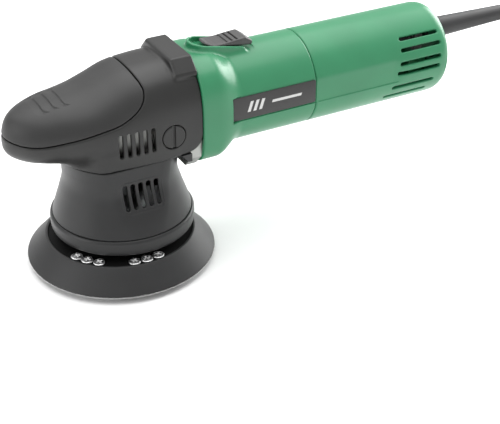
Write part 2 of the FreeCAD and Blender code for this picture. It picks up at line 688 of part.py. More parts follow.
# ---------------------------------------------------------------- gear case and bearing plate
CASE_SCREW_SPOTS = [(17, 70.5), (-17, 70.5), (18, 125.5), (-18, 125.5)]
case = new_body("gear_case")
for foot, top, inset in (("case_floor", "case_shoulder", "0"), ("case_shoulder", "case_top", "6")):
    extrude(case, "XY_Plane", foot, f"{top} - {foot}", lambda s: polygon(s, [
        (f"case_front + 9 + {inset}", f"-case_half_width + {inset}"),
        ("flange_front - 1", f"-case_half_width + {inset}"),
        ("flange_front - 1", f"case_half_width - {inset}"),
        (f"case_front + 9 + {inset}", f"case_half_width - {inset}"),
        (f"case_front + {inset}", "case_half_width - 12"),
        (f"case_front + {inset}", "-case_half_width + 12")]))
extrude(case, "YZ_Plane", "flange_front - case_flange", "case_flange - press_gap",
        lambda s: polygon(s, [
            ("-21.5", "64.5"), ("21.5", "64.5"), ("29.6", "73"), ("30.8", "84"), ("30.8", "118"),
            ("23", "130.8"), ("-23", "130.8"), ("-30.8", "118"), ("-30.8", "84"),
            ("-29.6", "73")]))
extrude(case, "XY_Plane", "motor_height + 2.5", "motor_height + 2.5 - case_floor + 1",
        lambda s: circle(s, "0", "0", "chamber_rad"), "Pocket")
extrude(case, "XY_Plane", "top_brg_at + top_brg_len", "top_brg_len + 4",
        lambda s: circle(s, "0", "0", "top_brg_rad + press_gap"), "Pocket")
extrude(case, "YZ_Plane", "front_brg_at + front_brg_len", "front_brg_len",
        lambda s: circle(s, "0", "motor_height", "front_brg_rad + press_gap"), "Pocket")
extrude(case, "YZ_Plane", "front_brg_at + 1", "20",
        lambda s: circle(s, "0", "motor_height", "9.2"), "Pocket")
extrude(case, "YZ_Plane", "flange_front + 1", "9",
        lambda s: circle(s, "0", "motor_height", "12"), "Pocket")
for across, up in CASE_SCREW_SPOTS:
    extrude(case, "YZ_Plane", "flange_front", "case_flange + 1",
            lambda s: circle(s, str(across), str(up), "2.1"), "Pocket")
    extrude(case, "YZ_Plane", "flange_front - case_flange + 3.4", "6",
            lambda s: circle(s, str(across), str(up), "3.8"), "Pocket")
keep("gear_case", case)

bearing_plate = turned_upright("bearing_plate", [
    ("9", "low_brg_at - 3.5"), ("boss_rad", "low_brg_at - 3.5"), ("boss_rad", "web_top"),
    ("26", "web_top"), ("26", "case_floor - press_gap"),
    ("low_brg_rad + press_gap", "case_floor - press_gap"),
    ("low_brg_rad + press_gap", "low_brg_at"), ("9", "low_brg_at")])
hole = extrude(bearing_plate, "XY_Plane", "case_floor", "6",
               lambda s: circle(s, "16.3", "16.3", "1.9"), "Pocket")
ring_of(bearing_plate, hole, "Z_Axis", "4")

head_screws = []
for number in range(4):
    angle = math.radians(45 + 90 * number)
    at = (f"{23.05 * math.cos(angle):.3f}", f"{23.05 * math.sin(angle):.3f}")
    head = cylinder(f"head_screw_head_{number}", "3.4", "2.6", *at, "web_top - web_thick - 2.7")
    shank = cylinder(f"head_screw_shank_{number}", "1.85", "web_thick + 7", *at,
                     "web_top - web_thick - 2.1")
    head_screws.append(joined(f"head_screw_{number}", [head, shank]))
group("head_screws", head_screws)

case_screws = []
for number, (across, up) in enumerate(CASE_SCREW_SPOTS):
    head = cylinder(f"case_screw_head_{number}", "3.6", "3.1", "flange_front - case_flange + 0.2",
                    str(across), str(up), axis=X_AXIS)
    shank = cylinder(f"case_screw_shank_{number}", "2.0", "case_flange + 7.6",
                     "flange_front - case_flange + 3.2", str(across), str(up), axis=X_AXIS)
    case_screws.append(joined(f"case_screw_{number}", [head, shank]))
group("case_screws", case_screws)

# ---------------------------------------------------------------- skirt
def flatted(height, radius, flat, inset=0.0):
    """A round ring at one height with two side flats, blended at their corners."""
    blend, count, points = 14.0, 32, []
    for index in range(count):
        angle = 2 * math.pi * (index + 0.5) / count
        side = max(abs(math.sin(angle)), 1e-6)
        reach = ((radius - inset) ** -blend + ((flat - inset) / side) ** -blend) ** (-1 / blend)
        points.append(V(reach * math.cos(angle), reach * math.sin(angle), height))
    return smooth_ring(points)


def skirt_form(inset, low, high):
    top, waist, foot = size["skirt_top"], size["skirt_waist"], size["skirt_foot"]
    rows = [
        (top, size["skirt_top_rad"], size["skirt_flat_top"]),
        (waist + 9, size["skirt_waist_rad"] + 0.3, size["skirt_flat_top"] + 0.5),
        (waist, size["skirt_waist_rad"], size["skirt_flat_waist"]),
        (waist - 9, size["skirt_waist_rad"] + 2.5, size["skirt_flat_waist"] + 3.8),
        (foot + 8, size["skirt_foot_rad"] - 2.8, size["skirt_foot_rad"] - 3.6),
        (foot, size["skirt_foot_rad"], size["skirt_foot_rad"] + 1.0)]
    rings = [flatted(z, radius, flat, inset) for z, radius, flat in rows]
    return loft(rings).common(Part.makeBox(200, 200, high - low, V(-100, -100, low)))


skirt_wall = size["wall"]
skirt_solid = skirt_form(0.0, size["skirt_foot"], size["skirt_top"])
skirt_hollow = skirt_form(skirt_wall, size["skirt_foot"], size["web_top"] - size["web_thick"])
skirt_pocket = Part.makeCylinder(26.3, 20, V(0, 0, size["web_top"]))
skirt_hole = Part.makeCylinder(size["boss_rad"] + 0.3, 60, V(0, 0, 40))
skirt_shape = skirt_solid.cut(skirt_hollow).cut(skirt_pocket).cut(skirt_hole)
for number in range(4):
    angle = math.radians(45 + 90 * number)
    at = V(23.05 * math.cos(angle), 23.05 * math.sin(angle), 60)
    skirt_shape = skirt_shape.cut(Part.makeCylinder(1.9, 30, at))
for number in range(5):
    x = 0.85 + (number - 2) * size["slot_pitch"]
    slot_box = Part.makeBox(size["slot_width"], 120, size["slot_tall"], V(
        x - size["slot_width"] / 2, -60, size["slot_low"]))
    skirt_shape = skirt_shape.cut(slot_box)
# slack round the rear flange of the gear case
skirt_shape = skirt_shape.cut(Part.makeBox(20, 90, 60, V(36.2, -45, 62)))
keep("skirt", shaped("skirt", skirt_shape))
inner_collar = "skirt_foot_rad - wall"
turned_upright("skirt_ring", [
    (inner_collar, "collar_floor"), ("collar_rad", "collar_floor"),
    ("collar_rad", "skirt_foot - 1.4"), ("collar_rad - 1.2", "skirt_foot - press_gap"),
    (inner_collar, "skirt_foot - press_gap")])

# ---------------------------------------------------------------- head cover and palm grip
def oval(x, half_width, low, high, power, inset=0.0):
    """One cross-section of the head, a rounded box between round and square."""
    count, points = 28, []
    middle, half_height = (low + high) / 2, (high - low) / 2 - inset
    for index in range(count):
        angle = 2 * math.pi * (index + 0.5) / count
        c, s = math.cos(angle), math.sin(angle)
        y = (half_width - inset) * math.copysign(abs(c) ** (2 / power), c)
        z = middle + half_height * math.copysign(abs(s) ** (2 / power), s)
        points.append(V(x, y, z))
    return smooth_ring(points)


HEAD_STATIONS = [  # x, half width, underside, top, squareness
    (-75.4, 2.3, 95.8, 100.4, 2.0), (-74.2, 6.2, 92.6, 106.5, 2.0),
    (-71.0, 11.7, 89.4, 113.9, 2.05), (-63.0, 20.1, 85.8, 118.6, 2.15),
    (-54.0, 25.3, 83.5, 121.0, 2.2), (-45.0, 28.3, 81.0, 122.9, 2.25),
    (-35.0, 31.3, 77.0, 124.0, 2.3), (-24.0, 33.1, 70.5, 126.0, 2.4),
    (-13.0, 34.2, 63.0, 129.6, 2.5), (0.0, 34.8, 60.0, 134.1, 2.6),
    (15.0, 35.0, 60.0, 136.0, 2.7), (30.0, 34.6, 60.0, 136.6, 2.7),
    (size["cover_rear"], 33.8, 60.0, 135.2, 2.8)]
cover_wall = size["wall"]
head_form = loft([oval(*row) for row in HEAD_STATIONS])
head_hollow = loft([oval(*row, inset=cover_wall) for row in HEAD_STATIONS[2:]])
hood = Part.Face(Part.makePolygon([V(29.5, y, z) for y, z in (
    (-27, 128.3), (27, 128.3), (26.6, 130.4), (18.6, 139.6), (-18.6, 139.6), (-26.6, 130.4),
    (-27, 128.3))])).extrude(V(size["cover_rear"] - 29.5, 0, 0))
head_outer = head_form.fuse(hood)
head_shell = head_outer.cut(head_hollow)
# the rear end is open to the gear case flange and the motor housing
rear_way = Part.Face(Part.makePolygon([
    V(36.2, y, z) for y, z in ((-31.1, 78), (31.1, 78), (31.1, 118.3), (23.3, 131.1),
                               (-23.3, 131.1), (-31.1, 118.3), (-31.1, 78))]))
head_shell = head_shell.cut(rear_way.extrude(V(60, 0, 0)))
# below the side edge only the nose keeps its underside
neck = Part.makeBox(120, 120, 40, V(-42.0, -60, size["cover_floor"] - 40))
head_shell = head_shell.cut(neck)
head_shell = head_shell.cut(Part.makeBox(80, 57, 8, V(-30, -28.5, 76)))


def grip_profile(shift):
    """Side outline of the palm grip: low along the nose, then up and over."""
    line = [(-90, 105.8), (-71, 102.6), (-51, 103.2), (-21.5, 107.9), (-3.2, 113.4),
            (4, 118.6), (7.9, 125), (7.6, 130.5), (5, 145)]
    points = [V(x, 0, z) for x, z in line]
    curve = Part.BSplineCurve()
    curve.interpolate(points)
    rim = curve.toShape()
    closing = Part.makePolygon([points[-1], V(-90, 0, 145), points[0]])
    face = Part.Face(Part.Wire([rim] + closing.Edges))
    solid = face.extrude(V(0, 120, 0))
    solid.translate(V(shift, -60, -shift))
    return solid


grip_tool = grip_profile(0.0)
grip_shape = head_shell.common(grip_tool)
cover_shape = head_shell.cut(grip_profile(size["grip_gap"]))
for sign in (-1, 1):
    for number in range(5):
        x = -0.7 + (number - 2) * size["cover_slot_pitch"]
        cover_shape = cover_shape.cut(Part.makeBox(size["slot_width"], 14, 16, V(
            x - size["slot_width"] / 2, 27 if sign > 0 else -41, 88)))
    plug_hole = Part.makeCylinder(size["plug_rad"] + 0.15, 14, V(
        size["plug_x"], sign * 28, size["plug_z"]), V(0, sign, 0))
    cover_shape = cover_shape.cut(plug_hole)
keep("head_cover", shaped("head_cover", cover_shape))
keep("palm_grip", shaped("palm_grip", grip_shape))

plugs = []
for side, sign in (("near", "-"), ("far", "")):
    cap = cylinder("plug_cap_" + side, "plug_rad", "3.2", "plug_x", sign + "32.2", "plug_z",
                   axis=Y_AXIS if sign == "" else V(0, -1, 0))
    shank = cylinder("plug_shank_" + side, "3.9", "5.4", "plug_x", sign + "27.05", "plug_z",
                     axis=Y_AXIS if sign == "" else V(0, -1, 0))
    low_y, high_y = ("34.2", "36") if sign == "" else ("-36", "-34.2")
    notch = block("plug_notch_" + side, ("plug_x - 1", low_y, "plug_z - 9"),
                  ("plug_x + 1", high_y, "plug_z + 9"))
    plugs.append(cut("side_plug_" + side, joined("plug_solid_" + side, [cap, shank]), [notch]))
group("side_plugs", plugs)

clips = []
for side, low_y in (("near", "-33.2"), ("far", "29.4")):
    clip = new_body("cover_clip_" + side)
    extrude(clip, "XZ_Plane", "0", "3.8", lambda s: polygon(s, [
        ("30", "78.7"), ("34", "73.4"), ("36.8", "73.4"), ("36.8", "78.7")]), flip=True)
    place(clip, y=low_y)
    clips.append(clip)
group("cover_clips", clips)

# ---------------------------------------------------------------- motor housing
def housing_ring(x, share, inset=0.0):
    """A section of the housing between the square flange (0) and the round barrel (1)."""
    round_rad = size["barrel_rad"]
    half_y = size["flange_half_width"] * (1 - share) + round_rad * share
    half_z = size["flange_half_height"] * (1 - share) + round_rad * share
    middle = size["motor_height"] + size["flange_lift"] * (1 - share)
    power = 3.2 * (1 - share) + 2.0 * share
    return oval(x, half_y, middle - half_z, middle + half_z, power, inset)


def housing_form(inset, front, rear):
    full_end = size["flange_front"] + size["flange_depth"]
    rings = [housing_ring(x, 0.0, inset) for x in (size["flange_front"] - 1, full_end)]
    for step in range(1, 9):
        travel = step / 8.0
        share = 0.5 - 0.5 * math.cos(math.pi * travel)
        rings.append(housing_ring(full_end + travel * size["cove_length"], share, inset))
    rings.append(housing_ring(size["flange_front"] + size["barrel_front_len"] + 2, 1.0, inset))
    span = Part.makeBox(rear - front, 200, 200, V(front, -100, 0))
    return Part.makeLoft(rings, True, True).common(span)


front_x = size["flange_front"]
rear_x = front_x + size["barrel_front_len"]
housing = housing_form(0.0, front_x, rear_x)
# raised rim round the slide switch, open to the rear
rim_half = size["rim_half_width"]
rim_wall = size["rim_wall"]


def rim_block(half, front, rear, low, high_front, high_rear):
    """A D-shaped block round the switch, its top falling to the rear."""
    body = Part.makeBox(rear - front - half, 2 * half, 40, V(front + half, -half, low))
    nose = Part.makeCylinder(half, 40, V(front + half, 0, low))
    block_shape = body.fuse(nose)
    wedge = Part.Face(Part.makePolygon([
        V(front - 5, -50, high_front + 1.0), V(front - 5, -50, 220), V(rear + 5, -50, 220),
        V(rear + 5, -50, high_rear - 0.9), V(front - 5, -50, high_front + 1.0)]))
    return block_shape.cut(wedge.extrude(V(0, 100, 0)))


housing = housing.fuse(rim_block(rim_half, 51.2, 88.0, 120.0, 140.6, 132.8))
housing = housing.cut(housing_form(size["wall"] + 0.4, front_x - 1, rear_x + 1))
recess = rim_block(rim_half - rim_wall, 51.2 + rim_wall, 120.0, 100.0, 170, 170)
floor_cut = Part.Face(Part.makePolygon([
    V(40, -50, 138.0), V(40, -50, 220), V(101, -50, 220), V(101, -50, 130.4), V(92, -50, 130.4),
    V(40, -50, 138.0)])).extrude(V(0, 100, 0))
housing = housing.cut(recess.common(floor_cut))
slot_x = 72.6
housing = housing.cut(Part.makeBox(14.5, 5.2, 30, V(slot_x, -2.6, 118)))
for sign in (-1, 1):
    low_y = size["facet_half"] if sign > 0 else -size["facet_half"] - 10
    housing = housing.cut(Part.makeBox(
        200, 10, size["facet_low"] + size["facet_high"],
        V(68.5, low_y, size["motor_height"] - size["facet_low"])))
inside = housing_form(0.5, front_x, rear_x)
for y, z in CASE_SCREW_SPOTS:
    up = 1 if z > size["motor_height"] else -1
    boss = Part.makeCylinder(4.2, 13, V(front_x, y, z), X_AXIS)
    rib = Part.makeBox(13, 4, 12, V(front_x, y - 2, z if up > 0 else z - 12))
    housing = housing.fuse(boss.fuse(rib).common(inside))
    housing = housing.cut(Part.makeCylinder(2.05, 12.5, V(front_x - 1, y, z), X_AXIS))
keep("motor_housing", shaped("motor_housing", housing))

labels = []
for side, low_y in (("near", "-facet_half - 0.55"), ("far", "facet_half + 0.05")):
    labels.append(block("label_" + side, ("69.2", low_y, "motor_height - facet_low + 0.6"),
                        ("129.2", low_y + " + 0.5", "motor_height + facet_high - 0.6")))
group("label_plates", labels)

# ---------------------------------------------------------------- rear cover
seam = "flange_front + barrel_front_len + 0.05"
cover_end = "flange_front + barrel_front_len + rear_cover_len"
cover_in = "barrel_rad - wall"
rear_base = new_body("rear_cover_base")
place(rear_base, z="motor_height")
revolve(rear_base, [
    (seam, cover_in), (seam, "barrel_rad"), (cover_end + " - 6", "barrel_rad"),
    (cover_end + " - 3.4", "barrel_rad - 0.7"), (cover_end + " - 1.6", "barrel_rad - 2"),
    (cover_end + " - 0.5", "barrel_rad - 3.8"), (cover_end, "barrel_rad - 6"), (cover_end, "0"),
    (cover_end + " - end_wall", "0"), (cover_end + " - end_wall", cover_in)], True)
cutters = []
for side in (-1, 1):
    for number, turn in enumerate((41.4, 27.0, 10.3, -2.2, -21.4, -37.0)):
        lean = 0.045 * (turn - 41.4)
        vent = doc.addObject("Part::Box", f"vent_{'near' if side < 0 else 'far'}_{number}")
        vent.setExpression("Length", bind("vent_len"))
        vent.setExpression("Width", bind("8"))
        vent.setExpression("Height", bind("vent_width"))
        angle = turn if side > 0 else 180 - turn
        spin = FreeCAD.Rotation(X_AXIS, angle)
        start = spin.multVec(V(0, value("barrel_rad") - 5, -value("vent_width") / 2))
        vent.Placement = FreeCAD.Placement(V(0, start.y, start.z), spin)
        vent.setExpression("Placement.Base.x", bind(
            f"flange_front + barrel_front_len + vent_start + 1.6 + {lean:.3f}"))
        vent.setExpression("Placement.Base.z", bind(f"motor_height + {start.z:.4f}"))
        cutters.append(vent)
cutters.append(cylinder("boot_hole", "boot_root_rad + 0.1", "12", cover_end + " - 8", "0",
                        "motor_height + boot_lift", axis=X_AXIS))
cutters.append(block("dial_slot", ("205.5", "-3.1", "60"), ("226.5", "3.1", "74")))
for side, y in (("near", "-20"), ("far", "20")):
    cutters.append(cylinder("cover_screw_sink_" + side, "3.7", "5", cover_end + " - 4", y,
                            "motor_height - 16", axis=X_AXIS))
    cutters.append(cylinder("cover_screw_way_" + side, "1.8", "12", cover_end + " - 8", y,
                            "motor_height - 16", axis=X_AXIS))
for side, low_y in (("near", "-facet_half - 10"), ("far", "facet_half")):
    cutters.append(block("cover_facet_" + side,
                         (seam + " - 1", low_y, "motor_height - facet_low"),
                         ("flange_front + barrel_front_len + vent_start - 6", low_y + " + 10",
                          "motor_height + facet_high")))
keep("rear_cover", cut("rear_cover", rear_base, cutters))

cover_screws = []
for side, y in (("near", "-20"), ("far", "20")):
    head = cylinder("cover_screw_head_" + side, "3.4", "2.5", cover_end + " - 3.9", y,
                    "motor_height - 16", axis=X_AXIS)
    shank = cylinder("cover_screw_shank_" + side, "1.6", "95", cover_end + " - 98", y,
                     "motor_height - 16", axis=X_AXIS)
    cover_screws.append(joined("cover_screw_" + side, [head, shank]))
group("cover_screws", cover_screws)

# ---------------------------------------------------------------- switch
def nose_corner(sketch, side):
    """What rounds one front corner of the knob off, seen from above."""
    middle_x, steps = f"{KNOB_FRONT} + knob_half_width", 6
    outside = f"{side}knob_half_width {side or '+'} 1"
    corners = [(f"{KNOB_FRONT} - 1", outside),
               (f"{KNOB_FRONT} - 1", "0")]
    for step in range(steps + 1):
        angle = math.radians(90.0 * step / steps)
        corners.append((f"{middle_x} - knob_half_width*{math.cos(angle):.6f}",
                        f"{side}knob_half_width*{math.sin(angle):.6f}"))
    corners.append((middle_x, outside))
    polygon(sketch, corners)


KNOB_FRONT = 60.2
knob = new_body("switch_knob")
extrude(knob, "XZ_Plane", "0", "knob_half_width * 2", lambda s: polygon(s, [
    ("60.2", "138"), ("62", "138.9"), ("68", "137.2"), ("74", "137.2"), ("82", "138"),
    ("89.5", "138.4"), ("94", "135.4"), ("94.4", "133.6"), ("93", "132.2"), ("62", "136.8")]),
    both=True)
for number in range(3):
    left = f"{75.4 + number * 3.7:.1f}"
    extrude(knob, "XZ_Plane", "0", "knob_half_width * 2 - 3", lambda s: box_outline(
        s, left, "136.6", left + " + 1.3", "141"), "Pocket", both=True)
extrude(knob, "XZ_Plane", "0", "link_half_width * 2 + 0.06", lambda s: box_outline(
    s, "78.9", "130", "84.1", "135"), "Pocket", both=True)
extrude(knob, "XY_Plane", "142", "14", lambda s: nose_corner(s, ""), "Pocket")
extrude(knob, "XY_Plane", "142", "14", lambda s: nose_corner(s, "-"), "Pocket")
keep("switch_knob", knob)

link = new_body("switch_link")
extrude(link, "XZ_Plane", "0", "link_half_width * 2", lambda s: polygon(s, [
    ("78", "motor_height + 25.9"), ("187", "motor_height + 25.9"), ("187", "motor_height + 17"),
    ("190", "motor_height + 17"), ("190", "motor_height + 27.3"), ("84", "motor_height + 27.3"),
    ("84", "134.9"), ("79", "134.9"), ("79", "motor_height + 27.3"),
    ("78", "motor_height + 27.3")]), both=True)
keep("switch_link", link)
keep("switch_body", block("switch_body", ("191", "-8", "motor_height + 7"),
                          ("217", "8", "motor_height + 24.6")))

# ---------------------------------------------------------------- speed control
board = block("board_plate", ("199", "-19", "87"), ("229", "19", "88.6"))
pot = block("dial_pot", ("210", "3.6", "72.6"), ("222", "9.5", "87"))
chip = block("power_block", ("214", "-16", "88.6"), ("228", "-4", "98"))
pot_bore = cylinder("pot_bore", "2.04", "8", "216", "2", "75", axis=Y_AXIS)
keep("speed_controller", cut("speed_controller", joined("board_solid", [board, pot, chip]),
                             [pot_bore]))
dial = new_body("speed_dial")
revolve(dial, [("-2.5", "0"), ("-2.5", "8.2"), ("-1.9", "9"), ("1.9", "9"), ("2.5", "8.2"),
               ("2.5", "2"), ("8.5", "2"), ("8.5", "0")], True)
dial.Placement = FreeCAD.Placement(V(216, 0, 75), FreeCAD.Rotation(Z_AXIS, 90))
keep("speed_dial", dial)
leads = [cylinder("lead_near", "1.2", "3.9", "217.05", "-2.5", "motor_height + boot_lift",
                  axis=X_AXIS),
         cylinder("lead_far", "1.2", "3.9", "217.05", "2.5", "motor_height + boot_lift",
                  axis=X_AXIS),
         cylinder("lead_down", "1.2", "17.2", "206", "0", "88.7")]
group("lead_wires", leads)

# ---------------------------------------------------------------- boot, cord and plug
boot_body = new_body("cord_boot")
root = cover_end
revolve(boot_body, [
    ("221", "0"), ("221", "boot_root_rad - 0.2"), (root + " - end_wall - 3.2", "boot_root_rad - 0.2"),
    (root + " - end_wall - 3.2", "9"), (root + " - end_wall - 0.1", "9"),
    (root + " - end_wall - 0.1", "boot_root_rad"), (root + " + 8", "boot_root_rad"),
    (root + " + boot_len - 1.2", "boot_tip_rad"), (root + " + boot_len", "boot_tip_rad - 0.6"),
    (root + " + boot_len", "0")], True)
place(boot_body, z="motor_height + boot_lift")
keep("cord_boot", boot_body)
clamp_box = block("clamp_box", ("222", "-11", "motor_height + 3"), ("228", "11", "motor_height + 20"))
clamp_way = cylinder("clamp_way", "boot_root_rad - 0.15", "10", "220", "0",
                     "motor_height + boot_lift", axis=X_AXIS)
keep("cord_clamp", cut("cord_clamp", clamp_box, [clamp_way]))


def tube(name, route):
    """A cord along straight runs joined by tangent arcs, as large as the runs allow."""
    radius = size["cord_rad"]
    points = [V(*point) for point in route]
    edges, at, radii = [], points[0], []
    for before, corner, after in zip(points, points[1:], points[2:]):
        arriving, leaving = corner - before, after - corner
        turn = arriving.getAngle(leaving)
        shorter = min(arriving.Length, leaving.Length)
        trim = 0.45 * shorter
        radii.append(trim / math.tan(turn / 2))
        arriving.normalize()
        leaving.normalize()
        start, end = corner - arriving * trim, corner + leaving * trim
        inward = leaving - arriving
        inward.normalize()
        reach = radii[-1] * (1 / math.cos(turn / 2) - 1)
        middle = corner + inward * reach
        edges.append(Part.LineSegment(at, start).toShape())
        edges.append(Part.Arc(start, middle, end).toShape())
        at = end
    edges.append(Part.LineSegment(at, points[-1]).toShape())
    path = Part.Wire(edges)
    section = Part.Wire(Part.makeCircle(radius, points[0], points[1] - points[0]))
    solid = path.makePipeShell([section], True, False)
    expected = math.pi * radius ** 2 * path.Length
    print(f"{name}: length {path.Length:.1f} mm, volume {solid.Volume / expected:.4f} of expected,"
          f" radii {[round(r) for r in radii]}")
    return keep(name, shaped(name, solid))


cord_height = size["motor_height"] + size["boot_lift"]
exit_x = value(cover_end) + size["boot_len"]
CORD_ROUTE = [
    (exit_x, 0, cord_height), (exit_x + 24.5, 0, cord_height), (368, -9, 98), (381, -24, 76),
    (390.5, -37, 53.5), (400, -49, 34), (416, -57, 19.5), (437.5, -57.5, 13.0), (459, -48, 12.4)]
TAIL_ROUTE = [
    (440, -57, 4.8), (462, -57.5, 4.8), (482, -50, 4.8), (496, -34, 5.5), (502, -13, 8),
    (503, 7, 10.5)]
tube("power_cord", CORD_ROUTE)
tube("cord_tail", TAIL_ROUTE)

coil_in = "coil_inner_turn - cord_rad"
coil_out = "coil_inner_turn + coil_turns*cord_rad*2 - cord_rad"
coil_up = "coil_lift + coil_layers*cord_rad*2"
coil = turned_upright("cord_coil", [
    (coil_in + " + 2", "coil_lift"), (coil_out + " - 2", "coil_lift"),
    (coil_out, "coil_lift + 2"), (coil_out, coil_up + " - 2"), (coil_out + " - 2", coil_up),
    (coil_in + " + 2", coil_up), (coil_in, coil_up + " - 2"), (coil_in, "coil_lift + 2")])
place(coil, "coil_x", "coil_y")
tie_band = block("tie_band", ("coil_x - 5", f"coil_y + {coil_in} - 1.6", "0"),
                 ("coil_x + 5", f"coil_y + {coil_out} + 1.1", coil_up + " + 1"))
tie_way = block("tie_way", ("coil_x - 6", f"coil_y + {coil_in} - 0.6", "coil_lift - 0.05"),
                ("coil_x + 6", f"coil_y + {coil_out} + 0.1", coil_up + " + 0.05"))
keep("coil_tie", cut("coil_tie", tie_band, [tie_way]))

plug_x, plug_y, plug_z = TAIL_ROUTE[-1]
PLUG_STATIONS = [(0, 5.2, 5.2), (12, 6.2, 6.2), (18, 12.0, 8.6), (24, 17.0, 10.2),
                 (38, 18.0, 10.3), (41, 17.2, 9.6)]
plug_form = loft([oval(x, half, -tall, tall, 2.4) for x, half, tall in PLUG_STATIONS])
plug_long = PLUG_STATIONS[-1][0]
plug_body = shaped("plug_body", plug_form)
plug_body.Placement = FreeCAD.Placement(V(plug_x, plug_y, plug_z), FreeCAD.Rotation(Z_AXIS, 90))
keep("plug_body", plug_body)
pins = []
for side, share in (("near", "-0.5"), ("far", "0.5")):
    pins.append(cylinder("plug_pin_" + side, "pin_rad", "pin_len",
                         f"{plug_x} + pin_spacing*{share}", f"{plug_y + plug_long + 0.02}",
                         f"{plug_z}", axis=Y_AXIS))
group("plug_pins", pins)

# ---------------------------------------------------------------- check and write
doc.recompute()
faults = []
for item in doc.Objects:
    if "Invalid" in item.State or "Error" in item.State:
        faults.append(f"{item.Name}: {item.State}")
for name, item in pieces.items():
    if item.Shape.isNull() or not item.Shape.isValid() or not item.Shape.Solids:
        faults.append(f"{name}: no valid solid")
if faults:
    raise RuntimeError("; ".join(faults))
for name, item in pieces.items():
    item.Shape.exportStep(f"parts/{name}.step")
    print(f"{name}: {len(item.Shape.Solids)} solid(s), {item.Shape.Volume / 1000:.2f} cm3")
print(len(pieces), "sub-parts written")
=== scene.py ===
# %% [markdown]
# # A dual action polisher, built round its engineering model
# The engineering model gives every part its place, in metres, with the origin where the
# spindle axis meets the pad face. It is loaded first and never moved. Each shell that the
# eye meets is then remade with fuller, softer forms, and rides on the body that it
# belongs to, so the joints still work.

# %% Load the engineering model
import json
import math

import bpy
import numpy as np
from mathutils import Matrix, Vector


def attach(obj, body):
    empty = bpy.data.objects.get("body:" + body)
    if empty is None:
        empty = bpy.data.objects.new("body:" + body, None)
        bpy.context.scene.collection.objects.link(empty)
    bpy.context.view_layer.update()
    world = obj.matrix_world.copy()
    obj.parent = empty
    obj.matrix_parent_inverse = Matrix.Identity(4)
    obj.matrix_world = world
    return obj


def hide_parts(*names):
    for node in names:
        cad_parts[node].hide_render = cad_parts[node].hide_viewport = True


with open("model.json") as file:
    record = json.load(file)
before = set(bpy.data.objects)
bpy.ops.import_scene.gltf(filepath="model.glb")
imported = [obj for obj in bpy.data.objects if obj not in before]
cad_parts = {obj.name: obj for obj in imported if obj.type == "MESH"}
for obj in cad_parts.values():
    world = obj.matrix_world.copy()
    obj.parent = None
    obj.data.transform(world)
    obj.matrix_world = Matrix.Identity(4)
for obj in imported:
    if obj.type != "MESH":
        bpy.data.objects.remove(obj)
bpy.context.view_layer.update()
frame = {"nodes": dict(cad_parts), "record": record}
scene = bpy.context.scene
MM = 0.001

# %% [markdown]
# ## Camera and room
# A long lens from well above the nose shows the head, the switch and the barrel at once.
# The room is a product photographer's table: a pale sheet, one wide lamp overhead, a
# weaker one at each side, and a bright sky all round. Wide lamps give the soft, slow
# highlights that moulded plastic shows.

# %% Camera
camera_data = bpy.data.cameras.new("camera")
camera_data.lens = 87.87
camera_data.sensor_width = 36.0
camera = bpy.data.objects.new("camera", camera_data)
scene.collection.objects.link(camera)
camera.location = (-0.2568, -0.6498, 0.4543)
sight = Vector((0.0967, 0.0, -0.0004)) - camera.location
camera.rotation_euler = sight.to_track_quat("-Z", "Y").to_euler()
scene.camera = camera
scene.view_settings.view_transform = "Standard"

# %% Table, sky and lamps
ROOM = 4.0
table_mesh = bpy.data.meshes.new("table")
table_mesh.from_pydata([(-ROOM, -ROOM, 0), (ROOM, -ROOM, 0), (ROOM, ROOM, 0), (-ROOM, ROOM, 0)],
                       [], [(0, 1, 2, 3)])
table = bpy.data.objects.new("table", table_mesh)
scene.collection.objects.link(table)

sky = bpy.data.worlds.new("sky")
sky.use_nodes = True
sky_light = sky.node_tree.nodes["Background"]
sky_light.inputs["Color"].default_value = (1.0, 1.0, 1.0, 1.0)
sky_light.inputs["Strength"].default_value = 0.74
scene.world = sky


def lamp(name, place, aim, width, watts):
    """A square soft lamp at a place, turned towards a point."""
    data = bpy.data.lights.new(name, "AREA")
    data.shape = "SQUARE"
    data.size = width
    data.energy = watts
    item = bpy.data.objects.new(name, data)
    item.location = place
    item.rotation_euler = (Vector(aim) - Vector(place)).to_track_quat("-Z", "Y").to_euler()
    scene.collection.objects.link(item)
    return item


lamp("lamp_over", (0.1, 0.35, 1.5), (0.08, 0.0, 0.08), 1.9, 30.0)
lamp("lamp_left", (-1.3, 0.1, 0.6), (0.0, 0.0, 0.08), 0.9, 6.0)
lamp("lamp_right", (1.1, 0.25, 0.45), (0.0, 0.0, 0.06), 0.7, 13.0)
print("lamps: 3")

# %% [markdown]
# ## Finishes
# Every finish is made of nodes, because an image would blur when the camera comes near.
# One recipe serves all the moulded parts: a slow cloud that shifts the colour a little,
# a fine grain that both roughens and dents the surface, and lighter rubbed edges found
# from how sharply the surface turns. Metals and wound wire add stripes to it.


# %% A recipe for moulded and machined finishes
def new_finish(name):
    finish = bpy.data.materials.new(name)
    finish.use_nodes = True
    nodes = finish.node_tree.nodes
    return finish, nodes, finish.node_tree.links, nodes["Principled BSDF"]


